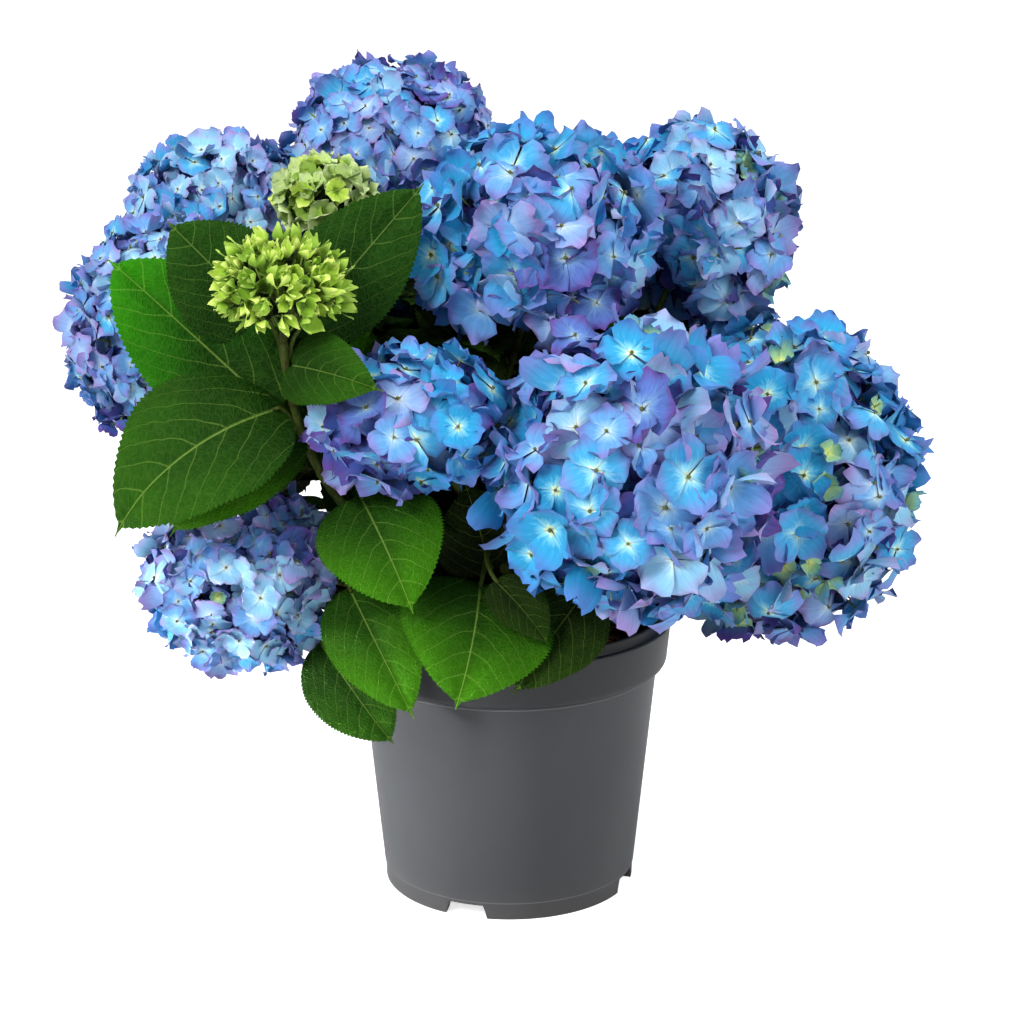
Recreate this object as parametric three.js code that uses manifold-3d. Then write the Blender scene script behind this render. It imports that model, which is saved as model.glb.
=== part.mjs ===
// Potted mophead hydrangea: a nursery pot of compost, six canes, their boughs, the leafy
// shoots at the ends of the boughs and a round flower head on each shoot.
// Millimetres, +Z up. The origin is the middle of the pot's flat underside, and -Y is the front.

import * as THREE from 'three';
import { mergeVertices } from 'three/addons/utils/BufferGeometryUtils.js';
import Module from 'manifold-3d';

const wasm = await Module();
wasm.setup();

// Gap that neighbouring pieces keep
const clearance = 0.3;

// Nursery pot: a tapering wall under a deep turned-out collar, on a ring foot with four notches.
// The collar is widest at its ridge, and a short shoulder leans in from there to the rim.
const pot = {
  height: 203,
  rimRadius: 111.5,
  ridgeRadius: 115,
  shoulderHeight: 7.5,
  collarFootRadius: 112.5,
  collarHeight: 41,
  collarRounding: 7,
  roundingIn: 0.3,
  roundingUp: 0.25,
  neckRadius: 105.5,
  footRadius: 89.5,
  footHeight: 12,
  footStep: 0.5,
  wall: 3,
  padRadius: 56,
  channelInnerRadius: 60,
  channelHeight: 11,
  channelSlope: 2,
  floorCorner: 4,
  facets: 34,
};
const notch = { count: 4, firstAngle: -20, width: 31, topWidth: 26, height: 9.5, reach: 26, inset: 13 };

// Compost stands a little below the rim
const compostLevel = 179;

// Heart of the plant, which the flower heads face away from
const heart = new THREE.Vector3(0, 10, 215);

// Flower heads: centre, half width, half height and the spacing of their florets. cover is how
// far round from its top a head carries florets, in degrees. Green ones have yet to open.
const heads = {
  front: { at: [80, -125, 334], across: 96, tall: 104, spacing: 52, cover: 140 },
  under: { at: [-63, -115, 366], across: 72, tall: 48, spacing: 44, cover: 125 },
  right: { at: [191, 35, 286], across: 108, tall: 124, spacing: 57, cover: 140 },
  right_back: { at: [137, 90, 462], across: 74, tall: 80, spacing: 46, cover: 135 },
  back_low: { at: [-5, 212, 300], across: 76, tall: 68, spacing: 50, cover: 135 },
  back_right: { at: [115, 200, 395], across: 82, tall: 78, spacing: 50, cover: 135 },
  back_left: { at: [-125, 212, 400], across: 80, tall: 74, spacing: 50, cover: 135 },
  left_back: { at: [-210, 125, 452], across: 75, tall: 73, spacing: 46, cover: 135 },
  low_left: { at: [-180, -75, 248], across: 72, tall: 67, spacing: 46, cover: 135 },
  far_left: { at: [-237, 8, 399], across: 72, tall: 87, spacing: 48, cover: 135 },
  bud: { at: [-145, -125, 454], across: 45, tall: 35, spacing: 30, cover: 105, isGreen: true },
  young: { at: [-128, 30, 488], across: 34, tall: 31, spacing: 28, cover: 115, isGreen: true },
  top: { at: [-84, 135, 500], across: 84, tall: 77, spacing: 46, cover: 135 },
  centre: { at: [14, -5, 467], across: 87, tall: 80, spacing: 48, cover: 135 },
};
const floret = { tipShare: 0.47, tipSpread: 0.03, cup: 0.2, rootShare: 0.38 };
const coreShare = 0.62;

// Canes: where each stands on the compost, where it forks and the heads that it carries.
// The last head grows on from its tip, and the others leave its side at the shares in sides.
const canes = {
  front: { foot: [16, -28], fork: [22, -42, 214], carries: ['under', 'front'], sides: [0.62] },
  right: { foot: [40, -2], fork: [52, 10, 216], carries: ['right', 'right_back'], sides: [0.6] },
  back: { foot: [24, 34], fork: [30, 62, 236], carries: ['back_low', 'back_right'], sides: [0.72] },
  back_left: { foot: [-14, 38], fork: [-46, 58, 248], carries: ['back_left', 'left_back'], sides: [0.6] },
  left: {
    foot: [-40, -6], fork: [-70, -26, 238], carries: ['low_left', 'far_left', 'bud'], sides: [0.34, 0.62],
  },
  centre: { foot: [-4, 6], fork: [-12, 14, 300], carries: ['young', 'top', 'centre'], sides: [0.62, 0.82] },
};
const cane = { radius: 5.6, forkRadius: 4.4, flare: 3.2, flareShare: 0.16, sides: 8, steps: 5 };
const caneBend = { rise: 0.45, lean: 0.4 };
const bough = { radius: 4, tipRadius: 3.4, share: 0.34, bend: 0.36, sides: 5, steps: 4 };
const shoot = { tipRadius: 2.7, sides: 5, steps: 4 };
const stalk = { radius: 2.5, tipRadius: 2.1, sides: 5, steps: 2, entry: 1.02, depth: 0.5 };

// Leaves: shares of the midrib, each with the share of the half width that the blade has there.
// Leaves that show at the front have an outline of three such stations, and the others of two.
const blade = {
  shown: [[0.22, 0.84], [0.52, 1], [0.8, 0.6]],
  paired: [[0.3, 0.92], [0.68, 0.84]],
  thickness: 0.018,
  fold: 0.16,
  rootRadius: 2.2,
  petioleRadius: 1.5,
};

// Leaves that show at the front, by the shoot that bears them: the share of the shoot where
// they grow, base, tip, width, the way the upper face looks and how far the midrib arches
const shownLeaves = {
  bud: [
    { on: 0.8, base: [-160, -76, 424], tip: [-222, -80, 489], width: 78, face: [-0.1, -1, 0.4], arch: 4 },
    { on: 0.8, base: [-139, -70, 416], tip: [-56, -60, 511], width: 74, face: [0.2, -1, 0.3], arch: 2 },
    { on: 0.5, base: [-157, -96, 370], tip: [-269, -46, 461], width: 90, face: [-0.1, -1, 0.55], arch: 6 },
    {
      on: 0.7, base: [-142, -120, 403], tip: [-81, -182, 401], width: 50, face: [-0.57, -0.65, 0.51],
      arch: 8,
    },
    {
      on: 0.5, base: [-153, -112, 372], tip: [-256, -152, 300], width: 104, face: [-0.35, -1, 0.7],
      arch: 24,
    },
    { on: 0.2, base: [-144, -96, 356], tip: [-222, -136, 295], width: 74, face: [-0.3, -1, 0.7], arch: 10 },
  ],
  under: [
    { on: 0.85, base: [-97, -110, 311], tip: [-62, -160, 249], width: 84, face: [0.1, -1, 0.5], arch: 10 },
    { on: 0.25, base: [-19, -98, 247], tip: [-34, -152, 180], width: 104, face: [0.3, -1, 0.75], arch: 14 },
    { on: 0.35, base: [-8, -112, 254], tip: [26, -140, 221], width: 38, face: [0.3, -1, 0.6], arch: 4 },
    { on: 0.3, base: [-12, -52, 244], tip: [-29, -75, 311], width: 66, face: [0.1, -1, 0.1], arch: 4 },
  ],
  low_left: [
    { on: 0.75, base: [-106, -102, 245], tip: [-63, -158, 176], width: 64, face: [-0.1, -1, 0.6], arch: 10 },
    { on: 0.45, base: [-126, -96, 204], tip: [-78, -120, 142], width: 60, face: [-0.2, -1, 0.4], arch: 6 },
  ],
  front: [
    { on: 0.25, base: [51, -88, 239], tip: [3, -134, 184], width: 66, face: [0.1, -1, 0.8], arch: 8 },
  ],
};

// Leaves that follow the growth rule: pairs up each shoot, every pair a quarter turn on
const pair = {
  spacing: 46,
  fewest: 3,
  besideShown: 2,
  firstNode: 0.14,
  lastNode: 0.86,
  length: 124,
  lengthSpread: 0.12,
  widthShare: 0.64,
  petiole: 26,
  spread: 66,
  droop: 0.25,
  arch: 0.09,
  faceTilt: 0.3,
};
const crown = { centre: [-8, 42, 330], reach: [262, 262, 232], front: -50, lowest: 182 };
const tries = { turns: [0, 20, -20, 40, -40], lifts: [0, 18, -18, 34], lengths: [1, 0.84, 0.7, 0.56] };

const colours = {
  pot: { color: 0x4f5154, roughness: 0.45, metalness: 0 },
  compost: { color: 0x3d2b20, roughness: 0.95, metalness: 0 },
  cane: { color: 0x7d6a4c, roughness: 0.85, metalness: 0 },
  bough: { color: 0x7c8a45, roughness: 0.7, metalness: 0 },
  leaves: { color: 0x3f6b2c, roughness: 0.55, metalness: 0 },
  blue: { color: 0x7da3d6, roughness: 0.7, metalness: 0 },
  green: { color: 0xa9bf4d, roughness: 0.7, metalness: 0 },
};

const seed = 20260;

// Chance that gives the same numbers on every run
function chanceFrom(start) {
  let state = start;
  return () => {
    state = (Math.imul(state, 1664525) + 1013904223) >>> 0;
    return state / 4294967296;
  };
}

function vector([x, y, z]) {
  return new THREE.Vector3(x, y, z);
}

function radians(degrees) {
  return THREE.MathUtils.degToRad(degrees);
}

// Closed solid from a geometry whose corners are shared
function solidFrom(geometry) {
  geometry.deleteAttribute('normal');
  geometry.deleteAttribute('uv');
  const merged = mergeVertices(geometry);
  return new wasm.Manifold(new wasm.Mesh({
    numProp: 3,
    vertProperties: Float32Array.from(merged.attributes.position.array),
    triVerts: Uint32Array.from(merged.index.array),
  }));
}

function geometryFrom(solid) {
  const mesh = solid.getMesh();
  const geometry = new THREE.BufferGeometry();
  geometry.setAttribute('position', new THREE.BufferAttribute(mesh.vertProperties, 3));
  geometry.setIndex(new THREE.BufferAttribute(mesh.triVerts, 1));
  geometry.computeVertexNormals();
  return geometry;
}

// One body out of many: the parts are joined, sealed hollows filled and loose scraps dropped
function joined(parts) {
  const finest = 0.03;
  const bodies = wasm.Manifold.union(parts).simplify(finest).decompose();
  return bodies.reduce((best, body) => (body.volume() > best.volume() ? body : best));
}

// Solids that are already in place, for the tests that keep pieces apart
const placed = new Map();

function boxesMeet(a, b) {
  return a.min.every((low, i) => low - clearance < b.max[i] && b.min[i] - clearance < a.max[i]);
}

function isClear(solid, own) {
  const box = solid.boundingBox();
  for (const [name, other] of placed) {
    if (name === own || !boxesMeet(box, other.box)) continue;
    if (solid.minGap(other.solid, 2 * clearance) < clearance) return false;
  }
  return true;
}

function put(name, solid) {
  placed.set(name, { solid, box: solid.boundingBox() });
}

// Part of a curve, from one share of its length to another
class Stretch extends THREE.Curve {
  constructor(whole, from, to) {
    super();
    this.whole = whole;
    this.from = from;
    this.to = to;
  }

  getPoint(share, target = new THREE.Vector3()) {
    return this.whole.getPointAt(THREE.MathUtils.lerp(this.from, this.to, share), target);
  }
}

// Cylinder bent along a curve, with a radius for each share of its length
function limb(curve, radiusAt, sides, steps) {
  const geometry = new THREE.CylinderGeometry(1, 1, 1, sides, steps);
  const frames = curve.computeFrenetFrames(steps);
  const corners = geometry.attributes.position;
  const corner = new THREE.Vector3();
  for (let i = 0; i < corners.count; i += 1) {
    corner.fromBufferAttribute(corners, i);
    const share = corner.y + 0.5;
    const ring = Math.round(share * steps);
    const point = curve.getPointAt(share);
    point.addScaledVector(frames.binormals[ring], corner.x * radiusAt(share));
    point.addScaledVector(frames.normals[ring], corner.z * radiusAt(share));
    corners.setXYZ(i, point.x, point.y, point.z);
  }
  return solidFrom(geometry);
}

// Pot wall, rim, floor and foot as one turned profile, from the middle of the underside
function potProfile() {
  const { wall, height, collarHeight, collarRounding: round } = pot;
  const collarFoot = height - collarHeight;
  const collar = pot.collarFootRadius - pot.neckRadius;
  const floor = pot.channelHeight;
  const ringInner = pot.footRadius - 2 * wall;
  return [
    [0, 0],
    [pot.padRadius, 0],
    [pot.channelInnerRadius, floor],
    [ringInner - pot.channelSlope, floor],
    [ringInner, 0],
    [pot.footRadius, 0],
    [pot.footRadius + pot.footStep, pot.footHeight],
    [pot.footRadius + 2 * pot.footStep, pot.footHeight + 1],
    [pot.neckRadius, collarFoot],
    [pot.neckRadius + collar - pot.roundingIn * round, collarFoot + pot.roundingUp * round],
    [pot.collarFootRadius, collarFoot + round],
    [pot.ridgeRadius, height - pot.shoulderHeight],
    [pot.rimRadius, height],
    [pot.rimRadius - wall, height],
    [pot.ridgeRadius - wall, height - pot.shoulderHeight],
    [pot.collarFootRadius - wall, collarFoot + round],
    [pot.neckRadius - wall, collarFoot],
    [pot.footRadius + wall / 2, floor + wall + pot.floorCorner],
    [pot.channelInnerRadius - wall, floor + wall],
    [pot.padRadius - wall, wall],
    [0, wall],
  ].map(([radius, z]) => new THREE.Vector2(radius, z));
}

// A lathe turns round Y, so the turned piece is stood up on Z
function turned(profile) {
  const geometry = new THREE.LatheGeometry(profile, pot.facets);
  geometry.rotateX(Math.PI / 2);
  return solidFrom(geometry);
}

// Slant-sided wedge across the ring foot, at an angle from the front
function footNotch(angle) {
  const below = 1;
  const shape = new THREE.Shape();
  shape.moveTo(-notch.width / 2, -below);
  shape.lineTo(notch.width / 2, -below);
  shape.lineTo(notch.topWidth / 2, notch.height);
  shape.lineTo(-notch.topWidth / 2, notch.height);
  shape.closePath();
  const geometry = new THREE.ExtrudeGeometry(shape, { depth: notch.reach, bevelEnabled: false });
  geometry.rotateX(Math.PI / 2);
  geometry.translate(0, notch.inset - pot.footRadius, 0);
  geometry.rotateZ(radians(angle));
  return solidFrom(geometry);
}

function potSolid() {
  let solid = turned(potProfile());
  for (let i = 0; i < notch.count; i += 1) {
    solid = solid.subtract(footNotch(notch.firstAngle + (360 / notch.count) * i));
  }
  return solid;
}

// Compost fills the pot's inside, clear of it all round
function compostSolid() {
  const { wall, height, collarHeight, collarRounding: round } = pot;
  const inside = wall + clearance;
  const collarFoot = height - collarHeight;
  const floor = pot.channelHeight + inside;
  const collarShare = (compostLevel - collarFoot - round) / (collarHeight - pot.shoulderHeight - round);
  const topRadius = THREE.MathUtils.lerp(pot.collarFootRadius, pot.ridgeRadius, collarShare) - inside;
  const profile = [
    [0, inside],
    [pot.padRadius - inside - clearance, inside],
    [pot.channelInnerRadius - inside - clearance, floor],
    [pot.footRadius + wall / 2 - 2 * clearance, floor + pot.floorCorner],
    [pot.neckRadius - inside - clearance, collarFoot + clearance],
    [pot.collarFootRadius - inside - clearance, collarFoot + round + clearance],
    [topRadius, compostLevel],
    [0, compostLevel],
  ];
  return turned(profile.map(([radius, z]) => new THREE.Vector2(radius, z)));
}

// A cane rises straight from the compost and bends towards its fork
function caneCurve({ foot, fork }) {
  const start = new THREE.Vector3(foot[0], foot[1], compostLevel + clearance);
  const end = vector(fork);
  const rise = (end.z - start.z) * caneBend.rise;
  const straightUp = start.clone().add(new THREE.Vector3(0, 0, rise));
  const lean = end.clone().lerp(straightUp, caneBend.lean);
  return new THREE.CubicBezierCurve3(start, straightUp, lean, end);
}

function caneRadius(share) {
  const nearFoot = Math.max(0, 1 - share / cane.flareShare);
  return THREE.MathUtils.lerp(cane.radius, cane.forkRadius, share) + cane.flare * nearFoot ** 2;
}

// Green heads stand upright on their shoots, and open ones face away from the heart
function headAim(head) {
  return head.isGreen ? new THREE.Vector3(0, 0, 1) : vector(head.at).sub(heart).normalize();
}

// From a point on the cane into the head, which it enters along the head's own axis
function growthCurve(start, along, head) {
  const aim = headAim(head);
  const radii = new THREE.Vector3(head.across, head.across, head.tall);
  const end = vector(head.at).sub(aim.clone().multiply(radii).multiplyScalar(stalk.depth));
  const pull = start.distanceTo(end) * bough.bend;
  const first = start.clone().addScaledVector(along, pull);
  const second = end.clone().addScaledVector(aim, -pull);
  return new THREE.CubicBezierCurve3(start, first, second, end);
}

// Share of the curve at which it comes to the head's surface
function entryShare(curve, head) {
  const centre = vector(head.at);
  const radii = new THREE.Vector3(head.across, head.across, head.tall).multiplyScalar(stalk.entry);
  const checks = 200;
  for (let i = 0; i < checks; i += 1) {
    const inside = curve.getPointAt(i / checks).sub(centre).divide(radii).length() < 1;
    if (inside) return i / checks;
  }
  return 1;
}

// Bough, leafy shoot and flower stalk follow one curve, end to end, with a gap between them.
// The curve starts at the cane's tip, or inside the cane where it leaves the cane's side.
function growthOf(caneName, headName, order) {
  const path = caneCurve(canes[caneName]);
  const head = heads[headName];
  const side = canes[caneName].sides[order];
  const isSide = side !== undefined;
  const share = isSide ? side : 1;
  const along = path.getTangentAt(share);
  const start = path.getPointAt(share);
  if (!isSide) start.addScaledVector(along, clearance);
  const curve = growthCurve(start, isSide ? vector(head.at).sub(start).normalize() : along, head);
  const gap = clearance / curve.getLength();
  const entry = entryShare(curve, head);
  const boughEnd = entry * bough.share;
  return {
    isSide,
    bough: new Stretch(curve, 0, boughEnd),
    shoot: new Stretch(curve, boughEnd + gap, entry),
    stalk: new Stretch(curve, entry + gap, 1),
  };
}

function taper(from, to) {
  return (share) => THREE.MathUtils.lerp(from, to, share);
}

// A bough that leaves the side of its cane is cut off clear of it
function boughSolid(caneName, growth) {
  const whole = limb(growth.bough, taper(bough.radius, bough.tipRadius), bough.sides, bough.steps);
  if (!growth.isSide) return whole;
  const fatter = (share) => caneRadius(share) + clearance;
  const room = limb(caneCurve(canes[caneName]), fatter, cane.sides, cane.steps);
  return joined([whole.subtract(room)]);
}

// Even spread of directions over a ball, as seeds lie on a seed head
function directionsRound(count) {
  const goldenAngle = Math.PI * (3 - Math.sqrt(5));
  return Array.from({ length: count }, (_, i) => {
    const z = 1 - (2 * (i + 0.5)) / count;
    const radius = Math.sqrt(1 - z * z);
    return new THREE.Vector3(radius * Math.cos(i * goldenAngle), radius * Math.sin(i * goldenAngle), z);
  });
}

// Floret: four sepal tips round a sunken middle, on a root that tapers into the core
function floretSolid(tipRadius, rootDepth, place) {
  const geometry = new THREE.OctahedronGeometry(tipRadius);
  const corners = geometry.attributes.position;
  for (let i = 0; i < corners.count; i += 1) {
    const z = corners.getZ(i);
    if (z > 0) corners.setZ(i, -tipRadius * floret.cup);
    if (z < 0) corners.setZ(i, -rootDepth);
  }
  geometry.applyMatrix4(place);
  return solidFrom(geometry);
}

// Florets sit all over the head, tips on its outer surface, except round the stalk
function floretsOf(head, chance) {
  const centre = vector(head.at);
  const radii = new THREE.Vector3(head.across, head.across, head.tall);
  const mean = (2 * head.across + head.tall) / 3;
  const count = Math.round((4 * Math.PI * mean ** 2) / head.spacing ** 2);
  const upright = new THREE.Quaternion().setFromUnitVectors(new THREE.Vector3(0, 0, 1), headAim(head));
  const lowest = Math.cos(radians(head.cover));
  const florets = [];
  for (const direction of directionsRound(count)) {
    const spin = chance() * Math.PI / 2;
    const tipRadius = head.spacing * (floret.tipShare + floret.tipSpread * chance());
    if (direction.z < lowest) continue;
    direction.applyQuaternion(upright);
    const outward = direction.clone().divide(radii).normalize();
    const reach = Math.sqrt(1 - (tipRadius / mean) ** 2);
    const at = direction.clone().multiply(radii).multiplyScalar(reach).add(centre);
    const turn = new THREE.Quaternion().setFromUnitVectors(new THREE.Vector3(0, 0, 1), outward);
    turn.multiply(new THREE.Quaternion().setFromAxisAngle(new THREE.Vector3(0, 0, 1), spin));
    const place = new THREE.Matrix4().compose(at, turn, new THREE.Vector3(1, 1, 1));
    florets.push(floretSolid(tipRadius, mean * (1 - floret.rootShare), place));
  }
  return florets;
}

function coreSolid(head) {
  const geometry = new THREE.IcosahedronGeometry(coreShare);
  geometry.scale(head.across, head.across, head.tall);
  geometry.translate(...head.at);
  return solidFrom(geometry);
}

function headSolid(name, growth, chance) {
  const head = heads[name];
  const stem = limb(growth.stalk, taper(stalk.radius, stalk.tipRadius), stalk.sides, stalk.steps);
  const florets = floretsOf(head, chance).filter((floret) => isClear(floret));
  return joined([stem, coreSolid(head), ...florets]);
}

// A ring of four corners: above, one edge, below, the other edge
function ringAt(centre, side, up, half, lift, thick) {
  return [
    centre.clone().addScaledVector(up, thick),
    centre.clone().addScaledVector(side, half).addScaledVector(up, lift),
    centre.clone().addScaledVector(up, -thick),
    centre.clone().addScaledVector(side, -half).addScaledVector(up, lift),
  ];
}

// A leaf is one skin over such rings: small ones along its petiole, then wide thin ones for
// the blade, which is folded along its midrib, arches over and ends in a point
function leafSolid({ root, base, tip, width, face, arch }, stations) {
  const along = tip.clone().sub(base);
  const length = along.length();
  along.normalize();
  const side = new THREE.Vector3().crossVectors(along, face).normalize();
  const up = new THREE.Vector3().crossVectors(side, along);
  const middle = base.clone().lerp(tip, 0.5).addScaledVector(up, 2 * arch);
  const midrib = new THREE.QuadraticBezierCurve3(base, middle, tip);
  const petiole = base.clone().sub(root).normalize();
  const rootSide = side.clone().projectOnPlane(petiole).normalize();
  const rootUp = new THREE.Vector3().crossVectors(rootSide, petiole);
  const { rootRadius, petioleRadius } = blade;
  const rings = [ringAt(root, rootSide, rootUp, rootRadius, 0, rootRadius)];
  rings.push(ringAt(base, side, up, petioleRadius, 0, petioleRadius));
  for (const [share, widthShare] of stations) {
    const half = (width / 2) * widthShare;
    const thick = (length * blade.thickness) / 2;
    rings.push(ringAt(midrib.getPoint(share), side, up, half, half * blade.fold, thick));
  }
  const geometry = new THREE.BufferGeometry().setFromPoints([...rings.flat(), tip]);
  geometry.setIndex(skinFaces(rings.length));
  return solidFrom(geometry);
}

// Faces over rings of four corners, closed flat at the first ring and by a point at the last
function skinFaces(rings) {
  const faces = [0, 2, 1, 0, 3, 2];
  const tip = 4 * rings;
  for (let corner = 0; corner < 4; corner += 1) {
    const next = (corner + 1) % 4;
    for (let ring = 0; ring < rings - 1; ring += 1) {
      const [a, b] = [4 * ring + corner, 4 * ring + next];
      faces.push(a, b, a + 4, b, b + 4, a + 4);
    }
    faces.push(tip - 4 + corner, tip - 4 + next, tip);
  }
  return faces;
}

// A paired leaf whose tip would leave the crown's own space, come out among the leaves that
// show at the front or hang below the pot's rim is left out
function isInCrown(point) {
  if (point.y < crown.front || point.z < crown.lowest) return false;
  const centre = vector(crown.centre);
  return point.clone().sub(centre).divide(vector(crown.reach)).length() < 1;
}

// One leaf of a pair: the angle round the shoot, how steeply it leaves and its length
function pairLeaf(stretch, node, angle, lift, length) {
  const root = stretch.getPointAt(node);
  const tangent = stretch.getTangentAt(node);
  const across = new THREE.Vector3().crossVectors(tangent, new THREE.Vector3(1, 0, 0)).normalize();
  across.applyAxisAngle(tangent, angle);
  const spread = radians(pair.spread - lift);
  const away = across.multiplyScalar(Math.sin(spread)).addScaledVector(tangent, Math.cos(spread));
  const base = root.clone().addScaledVector(away, pair.petiole);
  const reach = away.clone();
  reach.z -= pair.droop;
  const tip = base.clone().addScaledVector(reach.normalize(), length);
  const face = new THREE.Vector3(away.x * pair.faceTilt, away.y * pair.faceTilt, 1);
  return { root, base, tip, width: length * pair.widthShare, face, arch: length * pair.arch };
}

// The first way of setting the leaf that touches nothing, or none
function settledLeaf(stretch, node, angle, length, own) {
  for (const share of tries.lengths) {
    for (const lift of tries.lifts) {
      for (const turn of tries.turns) {
        const leaf = pairLeaf(stretch, node, angle + radians(turn), lift, length * share);
        if (!isInCrown(leaf.tip)) continue;
        const solid = leafSolid(leaf, blade.paired);
        if (isClear(solid, own)) return solid;
      }
    }
  }
  return null;
}

function pairedLeaves(name, growth, chance) {
  const stretch = growth.shoot;
  const roomFor = Math.max(pair.fewest, Math.round(stretch.getLength() / pair.spacing));
  const nodes = shownLeaves[name] ? pair.besideShown : roomFor;
  const firstAngle = chance() * Math.PI;
  const leaves = [];
  for (let i = 0; i < nodes; i += 1) {
    const node = THREE.MathUtils.lerp(pair.firstNode, pair.lastNode, i / (nodes - 1));
    for (const turn of [0, Math.PI]) {
      const length = pair.length * (1 + pair.lengthSpread * (2 * chance() - 1));
      const angle = firstAngle + (i * Math.PI) / 2 + turn;
      const leaf = settledLeaf(stretch, node, angle, length, `leaves_${name}`);
      if (leaf) leaves.push(leaf);
    }
  }
  return leaves;
}

function shownLeaf(growth, leaf) {
  const root = growth.shoot.getPointAt(leaf.on);
  const [base, tip, face] = [leaf.base, leaf.tip, leaf.face].map(vector);
  return leafSolid({ ...leaf, root, base, tip, face }, blade.shown);
}

const plant = new THREE.Group();

function show(name, solid, colour) {
  const material = new THREE.MeshStandardMaterial({ ...colour, flatShading: true });
  const mesh = new THREE.Mesh(geometryFrom(solid), material);
  mesh.name = name;
  plant.add(mesh);
  put(name, solid);
}

show('pot', potSolid(), colours.pot);
show('compost', compostSolid(), colours.compost);

for (const [name, sizes] of Object.entries(canes)) {
  show(`cane_${name}`, limb(caneCurve(sizes), caneRadius, cane.sides, cane.steps), colours.cane);
}

// Boughs follow, then leafy shoots, heads and leaves, each clear of what came before it
const growths = {};
for (const [caneName, { carries }] of Object.entries(canes)) {
  carries.forEach((headName, order) => {
    growths[headName] = growthOf(caneName, headName, order);
    show(`bough_${headName}`, boughSolid(caneName, growths[headName]), colours.bough);
  });
}

const shootStems = {};
for (const [name, growth] of Object.entries(growths)) {
  const radiusAt = taper(bough.tipRadius, shoot.tipRadius);
  shootStems[name] = limb(growth.shoot, radiusAt, shoot.sides, shoot.steps);
  put(`leaves_${name}`, shootStems[name]);
}

const chance = chanceFrom(seed);
for (const [name, growth] of Object.entries(growths)) {
  const colour = heads[name].isGreen ? colours.green : colours.blue;
  show(`bloom_${name}`, headSolid(name, growth, chance), colour);
}

// The leaves that show at the front are set first, and the paired ones then keep clear of them
for (const [name, growth] of Object.entries(growths)) {
  const shown = (shownLeaves[name] ?? []).map((leaf) => shownLeaf(growth, leaf));
  put(`leaves_${name}`, joined([shootStems[name], ...shown]));
}

for (const [name, growth] of Object.entries(growths)) {
  const own = `leaves_${name}`;
  const paired = pairedLeaves(name, growth, chance);
  show(own, joined([placed.get(own).solid, ...paired]), colours.leaves);
}

export default plant;
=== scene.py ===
import math
from functools import reduce

import bmesh
import bpy
import numpy as np
from mathutils import Matrix, Vector, noise
from mathutils.kdtree import KDTree


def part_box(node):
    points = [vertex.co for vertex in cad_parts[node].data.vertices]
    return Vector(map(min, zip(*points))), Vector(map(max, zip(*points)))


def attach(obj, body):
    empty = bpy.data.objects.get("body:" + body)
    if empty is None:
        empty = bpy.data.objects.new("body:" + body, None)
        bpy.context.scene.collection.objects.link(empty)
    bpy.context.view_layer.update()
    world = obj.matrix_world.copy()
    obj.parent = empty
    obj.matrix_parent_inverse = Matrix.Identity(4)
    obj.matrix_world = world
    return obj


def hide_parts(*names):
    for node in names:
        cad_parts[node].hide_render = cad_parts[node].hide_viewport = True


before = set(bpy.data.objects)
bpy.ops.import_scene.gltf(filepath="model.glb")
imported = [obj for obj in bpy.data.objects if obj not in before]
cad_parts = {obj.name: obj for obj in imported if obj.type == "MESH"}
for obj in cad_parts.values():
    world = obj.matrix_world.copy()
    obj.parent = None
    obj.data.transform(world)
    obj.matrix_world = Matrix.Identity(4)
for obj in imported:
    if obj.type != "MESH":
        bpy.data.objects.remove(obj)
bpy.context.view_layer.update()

# Potted mophead hydrangea. Lengths are millimetres, as in the solids, until a mesh is finished:
# then they are metres. +Z is up and -Y is the front.
mm = 0.001
clearance = 0.3
compostLevel = 179
heart = np.array([0, 10, 215])       # the flower heads face away from here


# Small helpers

def vectorOf(values):
    return np.array(values, float)


def unit(v):
    return v / np.linalg.norm(v)


def mixed(a, b, share):
    return a + (b - a) * share


def taper(start, end):
    return lambda share: mixed(start, end, share)


def table(columns, rows):
    # each row's values under the names of the columns
    return {name: dict(zip(columns.split(), row)) for name, row in rows.items()}


def chanceFrom(state):
    # the same draws as in the rule of the solids' source
    def draw():
        nonlocal state
        state = (state * 1664525 + 1013904223) % 2 ** 32
        return state / 2 ** 32
    return draw


def linear(*colour):
    # a colour as an eye dropper reads it, 0 to 255, for a shader
    shares = [c / 255 for c in colour]
    return tuple(s / 12.92 if s <= 0.04045 else ((s + 0.055) / 1.055) ** 2.4 for s in shares) + (1,)


def turnedBy(v, axis, angle):
    return np.array(Matrix.Rotation(angle, 3, Vector(axis)) @ Vector(v))


def bezierLine(*corners, count=201):
    t = np.linspace(0, 1, count)[:, None]
    layer = [vectorOf(c)[None, :] for c in corners]
    while len(layer) > 1:
        layer = [mixed(a, b, t) for a, b in zip(layer, layer[1:])]
    return layer[0]


def lengthsAlong(line):
    return np.concatenate([[0], np.cumsum(np.linalg.norm(np.diff(line, axis=0), axis=1))])


def pointsAt(line, shares):
    # points at shares of the line's length
    run = lengthsAlong(line)
    wanted = np.clip(shares, 0, 1) * run[-1]
    return np.stack([np.interp(wanted, run, line[:, i]) for i in range(3)], -1)


def pointAt(line, share):
    return pointsAt(line, np.array([share]))[0]


def headingAt(line, share, nudge=0.002):
    before, after = pointsAt(line, np.array([share - nudge, share + nudge]))
    return unit(after - before)


def stretchOf(line, start, end, count=121):
    return pointsAt(line, np.linspace(start, end, count))


# Templates come from bmesh as arrays, and their many copies are joined into one mesh

def arraysOf(bm):
    bm.verts.index_update()
    verts = np.array([v.co for v in bm.verts])
    faces = {}
    for face in bm.faces:
        faces.setdefault(len(face.verts), []).append([v.index for v in face.verts])
    bm.free()
    return verts, {n: np.array(f) for n, f in faces.items()}


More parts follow.
